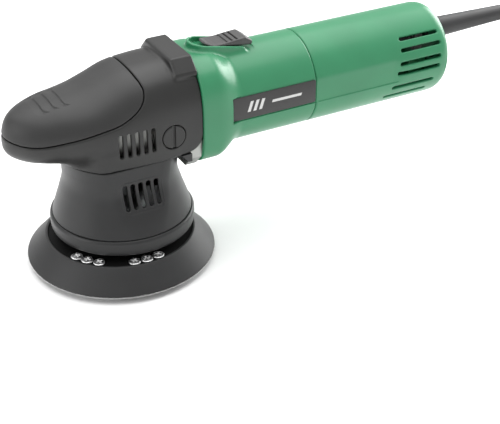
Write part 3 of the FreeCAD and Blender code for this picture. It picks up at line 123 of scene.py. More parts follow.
def surface(name, colour, roughness, grain=0.45, dent=0.03, cloud=0.10, metal=0.0, wear=0.0,
            gloss=0.5, stripes=None, speck=0.0):
    """A finish: grain and dent are in millimetres, cloud and wear are shares of brightness."""
    finish, nodes, links, shader = new_finish(name)
    shader.inputs["Metallic"].default_value = metal
    shader.inputs["Specular IOR Level"].default_value = gloss
    place = nodes.new("ShaderNodeTexCoord")
    slow = nodes.new("ShaderNodeTexNoise")
    slow.inputs["Scale"].default_value = 38.0
    slow.inputs["Detail"].default_value = 4.0
    fine = nodes.new("ShaderNodeTexNoise")
    fine.inputs["Scale"].default_value = 1.0 / (grain * MM)
    fine.inputs["Detail"].default_value = 3.0
    for noise in (slow, fine):
        links.new(place.outputs["Object"], noise.inputs["Vector"])
    shades = nodes.new("ShaderNodeValToRGB")
    darker = [c * (1 - cloud) for c in colour] + [1.0]
    lighter = [min(1.0, c * (1 + cloud)) for c in colour] + [1.0]
    shades.color_ramp.elements[0].position = 0.3
    shades.color_ramp.elements[0].color = darker
    shades.color_ramp.elements[1].position = 0.7
    shades.color_ramp.elements[1].color = lighter
    links.new(slow.outputs["Fac"], shades.inputs["Fac"])
    tint = shades.outputs["Color"]
    if speck:
        dots = nodes.new("ShaderNodeMixRGB")
        dots.blend_type = "MULTIPLY"
        dots.inputs["Fac"].default_value = speck
        links.new(tint, dots.inputs["Color1"])
        links.new(fine.outputs["Fac"], dots.inputs["Color2"])
        tint = dots.outputs["Color"]
    if wear:
        turn = nodes.new("ShaderNodeNewGeometry")
        edge = nodes.new("ShaderNodeMapRange")
        edge.inputs["From Min"].default_value = 0.53
        edge.inputs["From Max"].default_value = 0.66
        edge.inputs["To Max"].default_value = wear
        links.new(turn.outputs["Pointiness"], edge.inputs["Value"])
        rubbed = nodes.new("ShaderNodeMixRGB")
        rubbed.blend_type = "ADD"
        rubbed.inputs["Color2"].default_value = [min(1.0, c * 1.5 + 0.02) for c in colour] + [1.0]
        links.new(edge.outputs["Result"], rubbed.inputs["Fac"])
        links.new(tint, rubbed.inputs["Color1"])
        tint = rubbed.outputs["Color"]
    relief = fine.outputs["Fac"]
    if stripes:
        axis, pitch, strength = stripes
        bands = nodes.new("ShaderNodeTexWave")
        bands.bands_direction = axis
        bands.inputs["Scale"].default_value = 1.0 / (pitch * MM) / 6.2832 * 2.0
        bands.inputs["Distortion"].default_value = 0.4
        links.new(place.outputs["Object"], bands.inputs["Vector"])
        lines = nodes.new("ShaderNodeMixRGB")
        lines.blend_type = "MULTIPLY"
        lines.inputs["Fac"].default_value = strength
        links.new(tint, lines.inputs["Color1"])
        links.new(bands.outputs["Color"], lines.inputs["Color2"])
        tint = lines.outputs["Color"]
        relief = bands.outputs["Fac"]
    links.new(tint, shader.inputs["Base Color"])
    polish = nodes.new("ShaderNodeMapRange")
    polish.inputs["To Min"].default_value = max(0.03, roughness - 0.06)
    polish.inputs["To Max"].default_value = min(1.0, roughness + 0.06)
    links.new(fine.outputs["Fac"], polish.inputs["Value"])
    links.new(polish.outputs["Result"], shader.inputs["Roughness"])
    bump = nodes.new("ShaderNodeBump")
    bump.inputs["Strength"].default_value = 0.6
    bump.inputs["Distance"].default_value = dent * MM
    links.new(relief, bump.inputs["Height"])
    links.new(bump.outputs["Normal"], shader.inputs["Normal"])
    return finish


FINISHES = {
    "soft_grip": surface("soft_grip", (0.023, 0.023, 0.0228), 0.50, grain=0.5, dent=0.03, wear=0.2,
                         gloss=0.4),
    "cover_nylon": surface("cover_nylon", (0.0165, 0.0165, 0.016), 0.40, grain=0.6, dent=0.035,
                           wear=0.2, gloss=0.42),
    "knob_grey": surface("knob_grey", (0.048, 0.047, 0.047), 0.42, grain=0.5, dent=0.02, wear=0.2),
    "label_ink": surface("label_ink", (0.60, 0.60, 0.59), 0.45, grain=0.3, dent=0.004, cloud=0.04),
    "dark_plastic": surface("dark_plastic", (0.0145, 0.0148, 0.0152), 0.40, grain=0.5, dent=0.02,
                            wear=0.2, gloss=0.42),
    "plate_foam": surface("plate_foam", (0.0165, 0.0167, 0.0172), 0.48, grain=0.7, dent=0.05,
                          wear=0.2, gloss=0.4),
    "green_plastic": surface("green_plastic", (0.028, 0.205, 0.092), 0.34, grain=0.6, dent=0.012,
                             cloud=0.05, wear=0.10),
    "black_rubber": surface("black_rubber", (0.022, 0.022, 0.0228), 0.5, grain=0.4, dent=0.03),
    "hook_fabric": surface("hook_fabric", (0.86, 0.86, 0.85), 0.85, grain=0.5, dent=0.25,
                           speck=0.4),
    # gear case: dull cast aluminium, its own colour darkened partly as painted shade where it shows
    # through the louvres
    "cast_aluminium": surface("cast_aluminium", (0.38, 0.385, 0.37), 0.46, grain=0.8, dent=0.05,
                              metal=1.0, cloud=0.12),
    "steel": surface("steel", (0.42, 0.43, 0.44), 0.3, grain=0.25, dent=0.01, metal=1.0),
    "zinc_screw": surface("zinc_screw", (0.92, 0.92, 0.92), 0.34, grain=0.6, dent=0.01, metal=1.0),
    "copper_winding": surface("copper_winding", (0.52, 0.17, 0.06), 0.3, metal=0.85,
                              stripes=("X", 0.6, 0.6), dent=0.2),
    "copper_bar": surface("copper_bar", (0.78, 0.40, 0.24), 0.25, metal=1.0, dent=0.01),
    "laminated_steel": surface("laminated_steel", (0.30, 0.31, 0.32), 0.4, metal=0.9,
                               stripes=("X", 0.5, 0.5), dent=0.1),
    "white_nylon": surface("white_nylon", (0.16, 0.16, 0.15), 0.5, grain=0.8, dent=0.03),
    "carbon": surface("carbon", (0.02, 0.02, 0.022), 0.6, grain=0.3, dent=0.04, speck=0.5),
    "brass_sheet": surface("brass_sheet", (0.66, 0.47, 0.16), 0.3, metal=1.0, dent=0.01),
    "board_green": surface("board_green", (0.02, 0.16, 0.06), 0.35, grain=1.2, dent=0.03,
                           speck=0.3),
    # hub disc: dark plastic with its colour set almost to pure black and weak gloss, painted shade
    # for the deep shade under the collar ring
    "hub_black_and_shade": surface("hub_black_and_shade", (0.003, 0.003, 0.003), 0.6, grain=0.4, dent=0.02, gloss=0.12),
    "label_film": surface("label_film", (0.024, 0.023, 0.023), 0.45, grain=0.3, dent=0.006,
                          cloud=0.05),
    "cord_pvc": surface("cord_pvc", (0.022, 0.022, 0.0225), 0.42, grain=0.5, dent=0.02),
}
table_finish = surface("table_sheet", (0.93, 0.93, 0.93), 0.7, grain=3.0, dent=0.01, cloud=0.01)
table_mesh.materials.append(table_finish)
for part in frame["record"]["subparts"]:
    node = frame["nodes"][part["node"]]
    for place in node.material_slots:
        place.material = FINISHES[part["material_slot"]]
print("finishes:", len(FINISHES))

# %% [markdown]
# ## The mains cord
# A mains lead is a fixed length of rubber that bends only gently. It leaves the boot
# level, sinks to the table, and the part that would be in the way is wound into a round
# coil of two layers with a strap round it. One smooth curve carries the whole length:
# the same few points that the engineering model uses, with twelve or more points for
# each turn of the coil. A smooth curve is chosen over a swept mesh, because its bends
# stay soft however few points it has.

# %% Route of the cord
CORD_RADIUS = 3.8
COIL_X, COIL_Y = 428.0, -4.0
DOWN_RUN = [(318.5, 0, 110.5), (343, 0, 110.5), (368, -9, 98), (381, -24, 76), (390.5, -37, 53.5),
            (400, -49, 34), (416, -57, 20.5), (437.5, -57.8, 14.0)]
TAIL_RUN = [(462, -57.5, 4.8), (482, -50, 4.8), (496, -34, 5.5), (502, -13, 8), (503, 7, 10.5)]
TURN_RADII = (53.8, 46.2, 38.6, 31.0)
TOP_LAYER, LOW_LAYER = 12.4, 4.8
POINTS_A_TURN = 18


def ease(share):
    share = np.clip(share, 0.0, 1.0)
    return share * share * (3 - 2 * share)


def coil_points():
    """Both layers of the coil: inwards on top, down, and outwards below."""
    start, step = -55.0, 360.0 / POINTS_A_TURN
    last = -77.0 + 360.0 * 8
    points, turned = [], 0.0
    while start + turned < last + 1e-6:
        whole = int(turned // 360.0)
        part = turned - 360.0 * whole
        if whole < 4:
            radius, height = TURN_RADII[whole], TOP_LAYER
            if whole < 3:
                radius += (TURN_RADII[whole + 1] - radius) * float(ease((part - 290.0) / 70.0))
            else:
                height += (LOW_LAYER - TOP_LAYER) * float(ease((part - 300.0) / 60.0))
        else:
            low = 7 - whole
            radius, height = TURN_RADII[low], LOW_LAYER
            if low > 0:
                radius += (TURN_RADII[low - 1] - radius) * float(ease((part - 220.0) / 70.0))
        angle = math.radians(start + turned)
        points.append((COIL_X + radius * math.cos(angle), COIL_Y + radius * math.sin(angle),
                       height))
        turned += step
    return points


cord_line = bpy.data.curves.new("mains_cord", "CURVE")
cord_line.dimensions = "3D"
cord_line.bevel_depth = CORD_RADIUS * MM
cord_line.bevel_resolution = 6
cord_line.resolution_u = 8
cord_line.use_fill_caps = True
run = cord_line.splines.new("NURBS")
route = DOWN_RUN + coil_points() + TAIL_RUN
run.points.add(len(route) - 1)
for point, (x, y, z) in zip(run.points, route):
    point.co = (x * MM, y * MM, z * MM, 1.0)
run.order_u = 3
run.use_endpoint_u = True
cord = bpy.data.objects.new("mains_cord", cord_line)
scene.collection.objects.link(cord)
cord_line.materials.append(FINISHES["cord_pvc"])
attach(cord, "housing")
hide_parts("power_cord", "cord_coil", "cord_tail")
print("cord points:", len(route))

# %% [markdown]
# ## Nets over moulded forms
# Moulded shells have a radius on every edge and a fillet in every corner. Cutting and
# bevelling faces breaks down where such curved forms meet. So each shell is written as a
# formula that is negative inside the plastic and positive outside, in millimetres, where
# two forms can be joined or cut with a soft radius. A net of four-sided faces is then
# pulled over the place where the formula is zero: one corner for each small cell that
# the surface crosses, evened out and pushed onto the surface, with the formula's own
# slope as its shading direction.


# %% Soft joins, soft cuts and smooth curves through points
def soft_min(first, second, radius):
    """Join two forms with a fillet."""
    share = np.clip(0.5 + 0.5 * (second - first) / radius, 0.0, 1.0)
    return second + (first - second) * share - radius * share * (1 - share)


def soft_max(first, second, radius):
    """Keep what two forms share, with a rounded edge."""
    return -soft_min(-first, -second, radius)


def through(knots, values, at):
    """A smooth curve through given values."""
    knots, values = np.asarray(knots, float), np.asarray(values, float)
    slopes = np.gradient(values, knots)
    at = np.clip(at, knots[0], knots[-1])
    cell = np.clip(np.searchsorted(knots, at, side="right") - 1, 0, len(knots) - 2)
    wide = knots[cell + 1] - knots[cell]
    t = (at - knots[cell]) / wide
    return ((2 * t**3 - 3 * t**2 + 1) * values[cell] + (3 * t**2 - 2 * t**3) * values[cell + 1]
            + (t**3 - 2 * t**2 + t) * slopes[cell] * wide
            + (t**3 - t**2) * slopes[cell + 1] * wide)


def slot_form(u, v, middle_u, low_v, high_v, half):
    """A round-ended slot, seen along its depth."""
    nearest = np.clip(v, low_v + half, high_v - half)
    return np.hypot(u - middle_u, v - nearest) - half


# %% Pull a net over a form
def slope_of(form, points, reach=0.05):
    """The form's value and its direction of steepest rise at each point."""
    x, y, z = points.T
    value = form(x, y, z)
    rise = np.stack([form(x + reach, y, z), form(x, y + reach, z), form(x, y, z + reach)], 1)
    return value, (rise - value[:, None]) / reach


def settle(form, points, pitch, rounds):
    for _ in range(rounds):
        value, rise = slope_of(form, points)
        steep = np.maximum((rise * rise).sum(1), 0.05)
        move = value[:, None] * rise / steep[:, None]
        far = np.maximum(np.linalg.norm(move, axis=1) / (0.5 * pitch), 1.0)
        points = points - move / far[:, None]
    return points


def crossing_points(field, cells, axes, pitch):
    """One corner for each crossed cell, in the middle of where its sides are crossed."""
    total, hits = np.zeros((len(cells), 3)), np.zeros(len(cells))
    for axis in range(3):
        side_a, side_b = [a for a in range(3) if a != axis]
        for step_a, step_b in ((0, 0), (0, 1), (1, 0), (1, 1)):
            start = cells.copy()
            start[:, side_a] += step_a
            start[:, side_b] += step_b
            end = start.copy()
            end[:, axis] += 1
            here, there = field[tuple(start.T)], field[tuple(end.T)]
            crossed = (here < 0) != (there < 0)
            share = np.where(crossed, here / np.where(crossed, here - there, 1.0), 0.0)
            point = start.astype(float)
            point[:, axis] += share
            total += np.where(crossed[:, None], point, 0.0)
            hits += crossed
    corner = np.array([axis_values[0] for axis_values in axes])
    return total / hits[:, None] * pitch + corner


def net_faces(inside, number):
    """A four-sided face across every grid line that passes through the surface."""
    faces = []
    for axis in range(3):
        b, c = (axis + 1) % 3, (axis + 2) % 3
        count = inside.shape[axis]
        here = np.take(inside, range(0, count - 1), axis)
        there = np.take(inside, range(1, count), axis)
        lines = np.argwhere(here != there)
        corners = []
        for step_b, step_c in ((-1, -1), (0, -1), (0, 0), (-1, 0)):
            cell = lines.copy()
            cell[:, b] += step_b
            cell[:, c] += step_c
            corners.append(number[tuple(cell.T)])
        quads = np.stack(corners, 1)
        inward = ~here[tuple(lines.T)]
        quads[inward] = quads[inward][:, ::-1]
        faces.append(quads)
    return np.concatenate(faces)


def evened(points, faces):
    """Move each corner half way to the middle of its neighbours."""
    total, hits = np.zeros_like(points), np.zeros(len(points))
    for step in (1, 3):
        near = np.roll(faces, step, axis=1)
        for k in range(3):
            total[:, k] += np.bincount(faces.ravel(), points[near.ravel(), k], len(points))
        hits += np.bincount(faces.ravel(), minlength=len(points))
    return 0.5 * points + 0.5 * total / hits[:, None]


def add_mesh(name, points, faces, finish, body, slot, nodes=(), normals=None, crease=38.0):
    """Make a piece from points in millimetres, and hang it on its body."""
    mesh = bpy.data.meshes.new(name)
    mesh.from_pydata((np.asarray(points) * MM).tolist(), [], [list(map(int, f)) for f in faces])
    mesh.polygons.foreach_set("use_smooth", [True] * len(mesh.polygons))
    if normals is None:
        mesh.set_sharp_from_angle(angle=math.radians(crease))
    else:
        mesh.normals_split_custom_set_from_vertices(normals.tolist())
    piece = bpy.data.objects.new(name, mesh)
    scene.collection.objects.link(piece)
    mesh.materials.append(FINISHES[finish])
    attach(piece, body)
    if nodes:
        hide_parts(*nodes)
    return piece


def net(name, form, low, high, pitch, finish, body="housing", nodes=(), slot=None):
    """Pull a net over form(x, y, z) = 0 between two corners, all in millimetres."""
    axes = [np.arange(a - 1.5 * pitch, b + 2.5 * pitch, pitch) for a, b in zip(low, high)]
    shape = tuple(len(axis) for axis in axes)
    field = form(axes[0][:, None, None], axes[1][None, :, None], axes[2][None, None, :])
    field = np.broadcast_to(field, shape)
    inside = field < 0
    near = [inside[i:shape[0] - 1 + i, j:shape[1] - 1 + j, k:shape[2] - 1 + k]
            for i in (0, 1) for j in (0, 1) for k in (0, 1)]
    held = sum(corner.astype(np.int8) for corner in near)
    mixed = (held > 0) & (held < 8)
    number = np.full(mixed.shape, -1, np.int64)
    number[mixed] = np.arange(mixed.sum())
    points = crossing_points(field, np.argwhere(mixed), axes, pitch)
    faces = net_faces(inside, number)
    points = settle(form, points, pitch, 2)
    for _ in range(2):
        points = settle(form, evened(points, faces), pitch, 2)
    rise = slope_of(form, points)[1]
    normals = rise / np.maximum(np.linalg.norm(rise, axis=1), 1e-9)[:, None]
    piece = add_mesh(name, points, faces, finish, body, slot or finish, nodes, normals)
    print(f"{name}: {len(faces)} faces, {np.ptp(points, axis=0).round(1)} mm")
    return piece


# %% [markdown]
# ## Shape of the head
# The head is one long egg that carries two mouldings: a soft palm grip on top and a hard
# cover below it. Its cross-sections are rounded boxes between round and square. A few of
# them are written down from nose to rear, and a smooth curve runs through each size. The
# nose is blunt, so the sizes run evenly along the square root of the distance from it.

# %% Head sections
NOSE_X, NOSE_Z = -75.55, 97.3
HEAD_ROWS = np.array([  # x, half width, underside, top, squareness
    (NOSE_X, 0.0, NOSE_Z, NOSE_Z, 2.0), (-71, 11.69, 89.43, 113.89, 2.07),
    (-63, 20.14, 85.81, 118.56, 2.17), (-54, 25.29, 83.88, 120.99, 2.22),
    (-45, 28.15, 81.98, 122.88, 2.23), (-35, 31.07, 79.35, 123.6, 2.28),
    (-24, 33.03, 78.0, 125.4, 2.33), (-13, 34.2, 70.0, 129.37, 2.43),
    (0, 34.8, 63.0, 134.0, 2.61), (15, 35.0, 60.0, 135.9, 2.71),
    (30, 34.6, 60.0, 136.5, 2.71), (44.9, 33.8, 60.0, 135.1, 2.81)])
HEAD_STEPS = np.sqrt(HEAD_ROWS[:, 0] - NOSE_X)
COVER_FLOOR, COVER_REAR, WALL = 79.0, 44.9, 2.6


def rounded_box(y, z, half, tall, power):
    """Distance-like form of a rounded box section round the origin."""
    reach = ((np.abs(y) / half) ** power + (np.abs(z) / tall) ** power) ** (1 / power)
    ray = np.sqrt(y * y + z * z)
    radius = np.where(reach > 1e-3, ray / np.maximum(reach, 1e-3), tall)
    return (reach - 1) * radius


def head_skin(x, y, z):
    along = np.sqrt(np.maximum(x - NOSE_X, 1e-3))
    half, low, top, power = (through(HEAD_STEPS, HEAD_ROWS[:, k], along) for k in (1, 2, 3, 4))
    half, tall = np.maximum(half, 0.05), np.maximum((top - low) / 2, 0.05)
    gap = rounded_box(y, z - (low + top) / 2, half, tall, power)
    return np.maximum(gap / np.sqrt(1 + (2.9 / along) ** 2), NOSE_X - x)


def outline(path, u, v):
    """Distance to a closed outline, negative inside it."""
    nearest, flips = np.inf, 1.0
    for (au, av), (bu, bv) in zip(path, path[1:] + path[:1]):
        run_u, run_v = au - bu, av - bv
        to_u, to_v = u - bu, v - bv
        share = np.clip((to_u * run_u + to_v * run_v) / (run_u**2 + run_v**2), 0, 1)
        off_u, off_v = to_u - run_u * share, to_v - run_v * share
        nearest = np.minimum(nearest, off_u * off_u + off_v * off_v)
        above, below = v >= bv, v < av
        turned = run_u * to_v > run_v * to_u
        flip = (above & below & turned) | (~above & ~below & ~turned)
        flips = np.where(flip, -flips, flips)
    return flips * np.sqrt(nearest)


def smooth_path(points, count):
    """More points on a smooth curve through a few."""
    points = np.array(points, float)
    travel = np.concatenate([[0], np.cumsum(np.hypot(*np.diff(points, axis=0).T))])
    at = np.linspace(0, travel[-1], count)
    return [(float(u), float(v)) for u, v in zip(through(travel, points[:, 0], at),
                                                 through(travel, points[:, 1], at))]


# %% [markdown]
# ## Palm grip
# The grip is soft rubber-like plastic moulded over the nose, where a palm presses. Its
# lower edge runs level along the nose and then climbs to the top of the head. Three low
# steps across it give the hand a hold. The grip is the head's form cut by that edge line,
# hollow inside, with a small radius along the edge so that the joint reads as a fine dark
# line.

# %% Palm grip
GRIP_EDGE = smooth_path([(-95, 106.5), (-76.8, 104), (-71, 102.4), (-62, 102), (-51, 103.2),
                         (-35, 105.5), (-21.5, 107.9), (-10.8, 110), (-3.2, 113.4), (4, 118.6),
                         (7.4, 123.6), (8.3, 127.2), (7.6, 130.5), (6.2, 134), (5, 145)], 44)
GRIP_SIDE = GRIP_EDGE + [(5.0, 200.0), (-95.0, 200.0)]
JOINT_HALF = 0.22


def grip_steps(x, y, z):
    """Depth taken off in front of each step line, fading towards the nose."""
    depth = 0.0
    hook = 3.2 * np.clip((np.abs(y) - 8.0) / 5.5, 0, 1) ** 3
    fade = ease((14.5 - np.abs(y)) / 3.0) * ease((z - 108.0) / 4.0)
    for line in (-51.5, -45.0, -38.0):
        past = x - line - hook
        depth = depth + 0.7 * np.clip(1 + past / 5.0, 0, 1) * ease((0.4 - past) / 0.8) * fade
    return depth


def grip_form(x, y, z):
    skin = head_skin(x, y, z)
    edge = outline(GRIP_SIDE, x, z) + JOINT_HALF
    body = soft_max(skin + grip_steps(x, y, z), edge, 1.4)
    return np.maximum(body, -(skin + WALL))


net("grip_moulding", grip_form, (-76, -36, 100), (10, 36, 137), 0.62, "soft_grip",
    nodes=["palm_grip"])

# %% [markdown]
# ## Head cover
# The cover is glass-filled nylon: a hard shell round the gear case, with louvres at each
# side, a raised brow against the motor housing, and a collar below the nose that sits on
# the skirt. The brow and the collar are forms of their own, joined to the head with a
# fillet. The louvres and the holes for the side plugs are cut last, each with a small
# radius on its edge.

# %% Head cover
LOUVRES = [-0.7 + 5.35 * k for k in range(-2, 3)]
PLUG_X, PLUG_Z = 24.0, 94.5
BROW_SIDE = [(-25.0, 130.2), (-24.8, 131.0), (-17.8, 137.8), (17.8, 137.8), (24.8, 131.0),
             (25.0, 130.2)]


def cover_skin(x, y, z):
    skin = head_skin(x, y, z)
    collar = soft_max(np.hypot(x, y) - 39.4, np.abs(y) - 32.4, 3)
    skin = soft_min(skin, soft_max(collar, z - 90, 3), 6)
    brow = soft_max(outline(BROW_SIDE, y, z) - 2.0, 29.6 - x, 3)
    return soft_min(skin, brow, 2.0)


def cover_form(x, y, z):
    skin = cover_skin(x, y, z)
    body = soft_max(skin, soft_max(COVER_FLOOR - z, x - COVER_REAR, 14), 1.0)
    body = soft_max(body, JOINT_HALF - outline(GRIP_SIDE, x, z), 1.4)
    body = np.maximum(body, -(np.maximum(skin, np.where(x > -35, -100.0, COVER_FLOOR - z)) + WALL))
    side = 27 - np.abs(y)
    for middle in LOUVRES:
        body = soft_max(body, -np.maximum(slot_form(x, z, middle, 88, 104, 1.25), side), 0.9)
    hole = np.maximum(np.hypot(x - PLUG_X, z - PLUG_Z) - 8.15, side)
    return soft_max(body, -hole, 0.9)


net("cover_moulding", cover_form, (-76, -36, 79), (45, 36, 140.5), 0.7, "cover_nylon",
    nodes=["head_cover"], slot="soft_grip")


def plug_form(x, y, z):
    disc = np.hypot(x - PLUG_X, z - PLUG_Z)
    cap = soft_max(disc - 7.85, np.abs(y) - 34.9, 1.0)
    shank = np.maximum(disc - 3.9, np.abs(y) - 33)
    body = np.maximum(np.minimum(np.maximum(cap, 32.2 - np.abs(y)), shank), 27.1 - np.abs(y))
    notch = np.maximum(np.abs(x - PLUG_X) - 1.0, 33.7 - np.abs(y))
    return soft_max(body, -notch, 0.4)


net("plug_caps", plug_form, (16, -35, 86), (32, 35, 103), 0.42, "cover_nylon",
    nodes=["side_plugs"], slot="dark_plastic")

# %% [markdown]
# ## Skirt and collar ring
# The skirt is round at the foot and flattened at its sides where it meets the narrower
# head. It is a hollow bell, with five slots in each side that let cooling air out over
# the pad. The flats melt into the round with a wide radius, which catches a long
# highlight. A ring below it, turned rather than moulded to shape, hides the whirling
# counterweight.

# %% Skirt
SKIRT_FOOT = 34.0
SKIRT_Z = [SKIRT_FOOT, 42, 52, 61, 70, 78.6]
SKIRT_ROUND = [46.2, 43.6, 40.3, 37.9, 37.9, 38.9]
SKIRT_FLAT = [47.2, 43.0, 37.6, 33.8, 32.7, 32.2]


def skirt_skin(x, y, z):
    round_part = np.hypot(x, y) - through(SKIRT_Z, SKIRT_ROUND, z)
    flat_part = np.abs(y) - through(SKIRT_Z, SKIRT_FLAT, z)
    return soft_max(round_part, flat_part, 2.0)


def skirt_form(x, y, z):
    skin = skirt_skin(x, y, z)
    frame_edge = soft_max(np.abs(x - 0.4) - 13.8, np.abs(z - 59.0) - 9.9, 4)
    sunk = 0.35 * ease(0.5 - frame_edge / 0.8) * (np.abs(y) > 20)
    body = soft_max(skin + sunk, np.maximum(SKIRT_FOOT - z, z - 78.6), 1.0)
    body = soft_max(body, -np.maximum(36.2 - x, 62 - z), 1.2)
    for number in range(-2, 3):
        slot = slot_form(x, z, 0.4 + 5.35 * number, 51, 67.0, 1.45)
        body = soft_max(body, -np.maximum(slot, 24 - np.abs(y)), 0.9)
    from_middle = np.hypot(x, y)
    under = np.maximum(skin + WALL, z - 73.0)
    bore = np.minimum(from_middle - 19.8, np.maximum(from_middle - 26.3, 76 - z))
    return np.maximum(body, -np.minimum(under, bore))


net("skirt_moulding", skirt_form, (-48, -46, 34), (48, 46, 79), 0.78, "dark_plastic",
    nodes=["skirt"])


# %% Turned pieces
def softened(corners, steps=5):
    """Points of a profile whose corners, given as (radius, height, fillet), are rounded."""
    points = []
    for index, (radius, height, fillet) in enumerate(corners):
        here = np.array((radius, height), float)
        if not fillet or index in (0, len(corners) - 1):
            points.append(tuple(here))
            continue
        before = np.array(corners[index - 1][:2], float) - here
        after = np.array(corners[index + 1][:2], float) - here
        start = here + before / np.linalg.norm(before) * fillet
        end = here + after / np.linalg.norm(after) * fillet
        for t in np.linspace(0, 1, steps):
            points.append(tuple((1 - t) ** 2 * start + 2 * t * (1 - t) * here + t * t * end))
    return points


def turned_points(profile, sides, swell=None):
    """Corners and faces of a profile spun about its own axis, which is Z."""
    points, faces, rings = [], [], []
    angles = np.arange(sides) * 2 * math.pi / sides
    for radius, height in profile:
        if radius < 1e-6:
            rings.append([len(points)])
            points.append((0.0, 0.0, height))
            continue
        rings.append(list(range(len(points), len(points) + sides)))
        reach = radius + (swell(angles, radius, height) if swell else 0.0 * angles)
        points += list(zip(reach * np.cos(angles), reach * np.sin(angles), [height] * sides))
    for low, high in zip(rings, rings[1:]):
        for k in range(sides):
            after = (k + 1) % sides
            if len(low) == 1 and len(high) > 1:
                faces.append((low[0], high[after], high[k]))
            elif len(high) == 1 and len(low) > 1:
                faces.append((low[k], low[after], high[0]))
            elif len(low) > 1:
                faces.append((low[k], low[after], high[after], high[k]))
    return np.array(points, float), faces


AXIS_TURNS = {"Z": lambda p: p, "X": lambda p: p[:, [2, 0, 1]], "Y": lambda p: p[:, [1, 2, 0]]}


def turned(name, corners, centre, axis, finish, body, nodes, sides=128, swell=None, slot=None):
    profile = softened(corners)
    points, faces = turned_points(profile, sides, swell)
    points = AXIS_TURNS[axis](points) + np.array(centre, float)
    piece = add_mesh(name, points, faces, finish, body, slot or finish, nodes)
    print(f"{name}: {len(faces)} faces")
    return piece


# %% Collar ring
turned("collar_ring", [(43.7, 30, 0), (43.7, 23.5, 0.8), (47.0, 23.5, 1.6), (47.7, 26.5, 2.0),
                      (47.9, 32.8, 1.3), (46.6, 33.96, 0.4), (43.7, 33.96, 0.4), (43.7, 30, 0)],
       (0, 0, 0), "Z", "dark_plastic", "housing", ["skirt_ring"], sides=180)

# %% [markdown]
# ## Motor housing
# The green housing starts as a tall rounded square, so that four screws can hold it to
# the gear case, and sweeps down to a round barrel. On top a raised rim shaped like a D
# guards the slide switch. Each side has a flat for a label. The sweep is a rounded box
# whose sides and squareness change along the barrel, so no seam shows where they meet.

# %% Motor housing
AXIS_Z, BARREL = 99.0, 32.0
SEAM_X, BARREL_END = 130.0, 240.0
FLAT_FRONT, FLAT_Y, FLAT_LOW, FLAT_TOP = 66.8, 30.6, 92.2, 109.4


def barrel_skin(x, y, z):
    share = 0.5 - 0.5 * np.cos(np.pi * np.clip((x - 57.0) / 19.0, 0, 1))
    half = 35.0 * (1 - share) + BARREL * share
    tall = 36.2 * (1 - share) + BARREL * share
    middle = AXIS_Z + 0.2 * (1 - share)
    return rounded_box(y, z - middle, half, tall, 3.2 * (1 - share) + 2.0 * share)


def label_flat(x, y, z, end_x):
    """The block of space that each side flat is cut with."""
    fade = 1.6 * ease((x - end_x + 14.0) / 14.0)
    return np.maximum(np.maximum(FLAT_Y + fade - np.abs(y), np.maximum(FLAT_FRONT - x, x - end_x)),
                      np.maximum(FLAT_LOW - z, z - FLAT_TOP))


def rim_outline(x, y, half, front, rear):
    straight = np.maximum(np.abs(y) - half, front + half - x)
    nose = np.hypot(x - front - half, y) - half
    return soft_max(np.minimum(straight, nose), x - rear, 2)


def housing_form(x, y, z):
    skin = barrel_skin(x, y, z)
    rim_top = 140.6 - (x - 51.2) * (140.6 - 132.8) / 36.8
    rim = soft_max(rim_outline(x, y, 10.2, 51.2, 88.0), z - rim_top, 1.3)
    body = soft_min(skin, np.maximum(rim, 118 - z), 3.2)
    body = soft_max(body, np.maximum(45.0 - x, x - SEAM_X), 1.6)
    floor = 138.0 - (x - 40.0) * 7.6 / 52.0
    well = np.maximum(rim_outline(x, y, 8.5, 52.9, 95.4), floor - z)
    body = soft_max(body, -well, 0.7)
    body = soft_max(body, -label_flat(x, y, z, 220.0), 0.5)
    body = np.maximum(body, -(skin + WALL + 0.4))
    slot = np.maximum(np.maximum(np.abs(x - 79.8) - 7.2, np.abs(y) - 2.6), 118 - z)
    return np.maximum(body, -slot)


net("housing_moulding", housing_form, (45, -36, 62), (130, 36, 141), 0.72, "green_plastic",
    nodes=["motor_housing"])

# %% [markdown]
# ## Rear cover
# The rear half of the barrel holds the brushes, the switch and the speed control. Six
# slots in each side let air in. They lie round the barrel, so each is written in the
# barrel's own terms: how far along it, and how far round it.

# %% Rear cover
BOOT_Z = 110.5
VENTS = ((41.4, 199.0, 230.6), (27.0, 198.2, 231.2), (10.3, 196.8, 230.4), (-2.2, 195.2, 229.4),
         (-21.4, 191.8, 226.2), (-37.0, 187.6, 222.4))


def rear_form(x, y, z):
    from_axis = np.hypot(y, z - AXIS_Z)
    body = soft_max(from_axis - BARREL, x - BARREL_END, 10.0)
    body = soft_max(body, SEAM_X + 0.12 - x, 1.6)
    body = soft_max(body, -label_flat(x, y, z, 205.0), 0.5)
    turn = np.degrees(np.arctan2(z - AXIS_Z, np.abs(y) + 1e-6))
    for middle, start, end in VENTS:
        vent = slot_form(np.radians(turn - middle) * BARREL, x, 0.0, start, end, 1.35)
        body = soft_max(body, -np.maximum(vent, 26 - from_axis), 0.9)
    body = np.maximum(body, -np.maximum(from_axis - BARREL + WALL, x - BARREL_END + 5.0))
    body = soft_max(body, -np.maximum(np.hypot(y, z - BOOT_Z) - 7.55, 215 - x), 0.6)
    for depth, radius in ((4.0, 3.7), (8.0, 1.8)):
        sink = np.maximum(np.hypot(np.abs(y) - 20, z - 83) - radius, BARREL_END - depth - x)
        body = soft_max(body, -sink, 0.5)
    dial_way = np.maximum(soft_max(np.abs(x - 216) - 10.5, np.abs(y) - 3.1, 1.5), z - 74)
    return soft_max(body, -dial_way, 0.8)


net("rear_moulding", rear_form, (130, -32.2, 66.8), (240.1, 32.2, 131.2), 0.78, "green_plastic",
    nodes=["rear_cover"])

# %% [markdown]
# ## Slide switch
# The knob is a grey pad that a thumb pushes: dished at the front, three finger grooves,
# a ridge, and a slope at the back. Its side view is drawn as an outline, given a width,
# and rounded where the two meet.

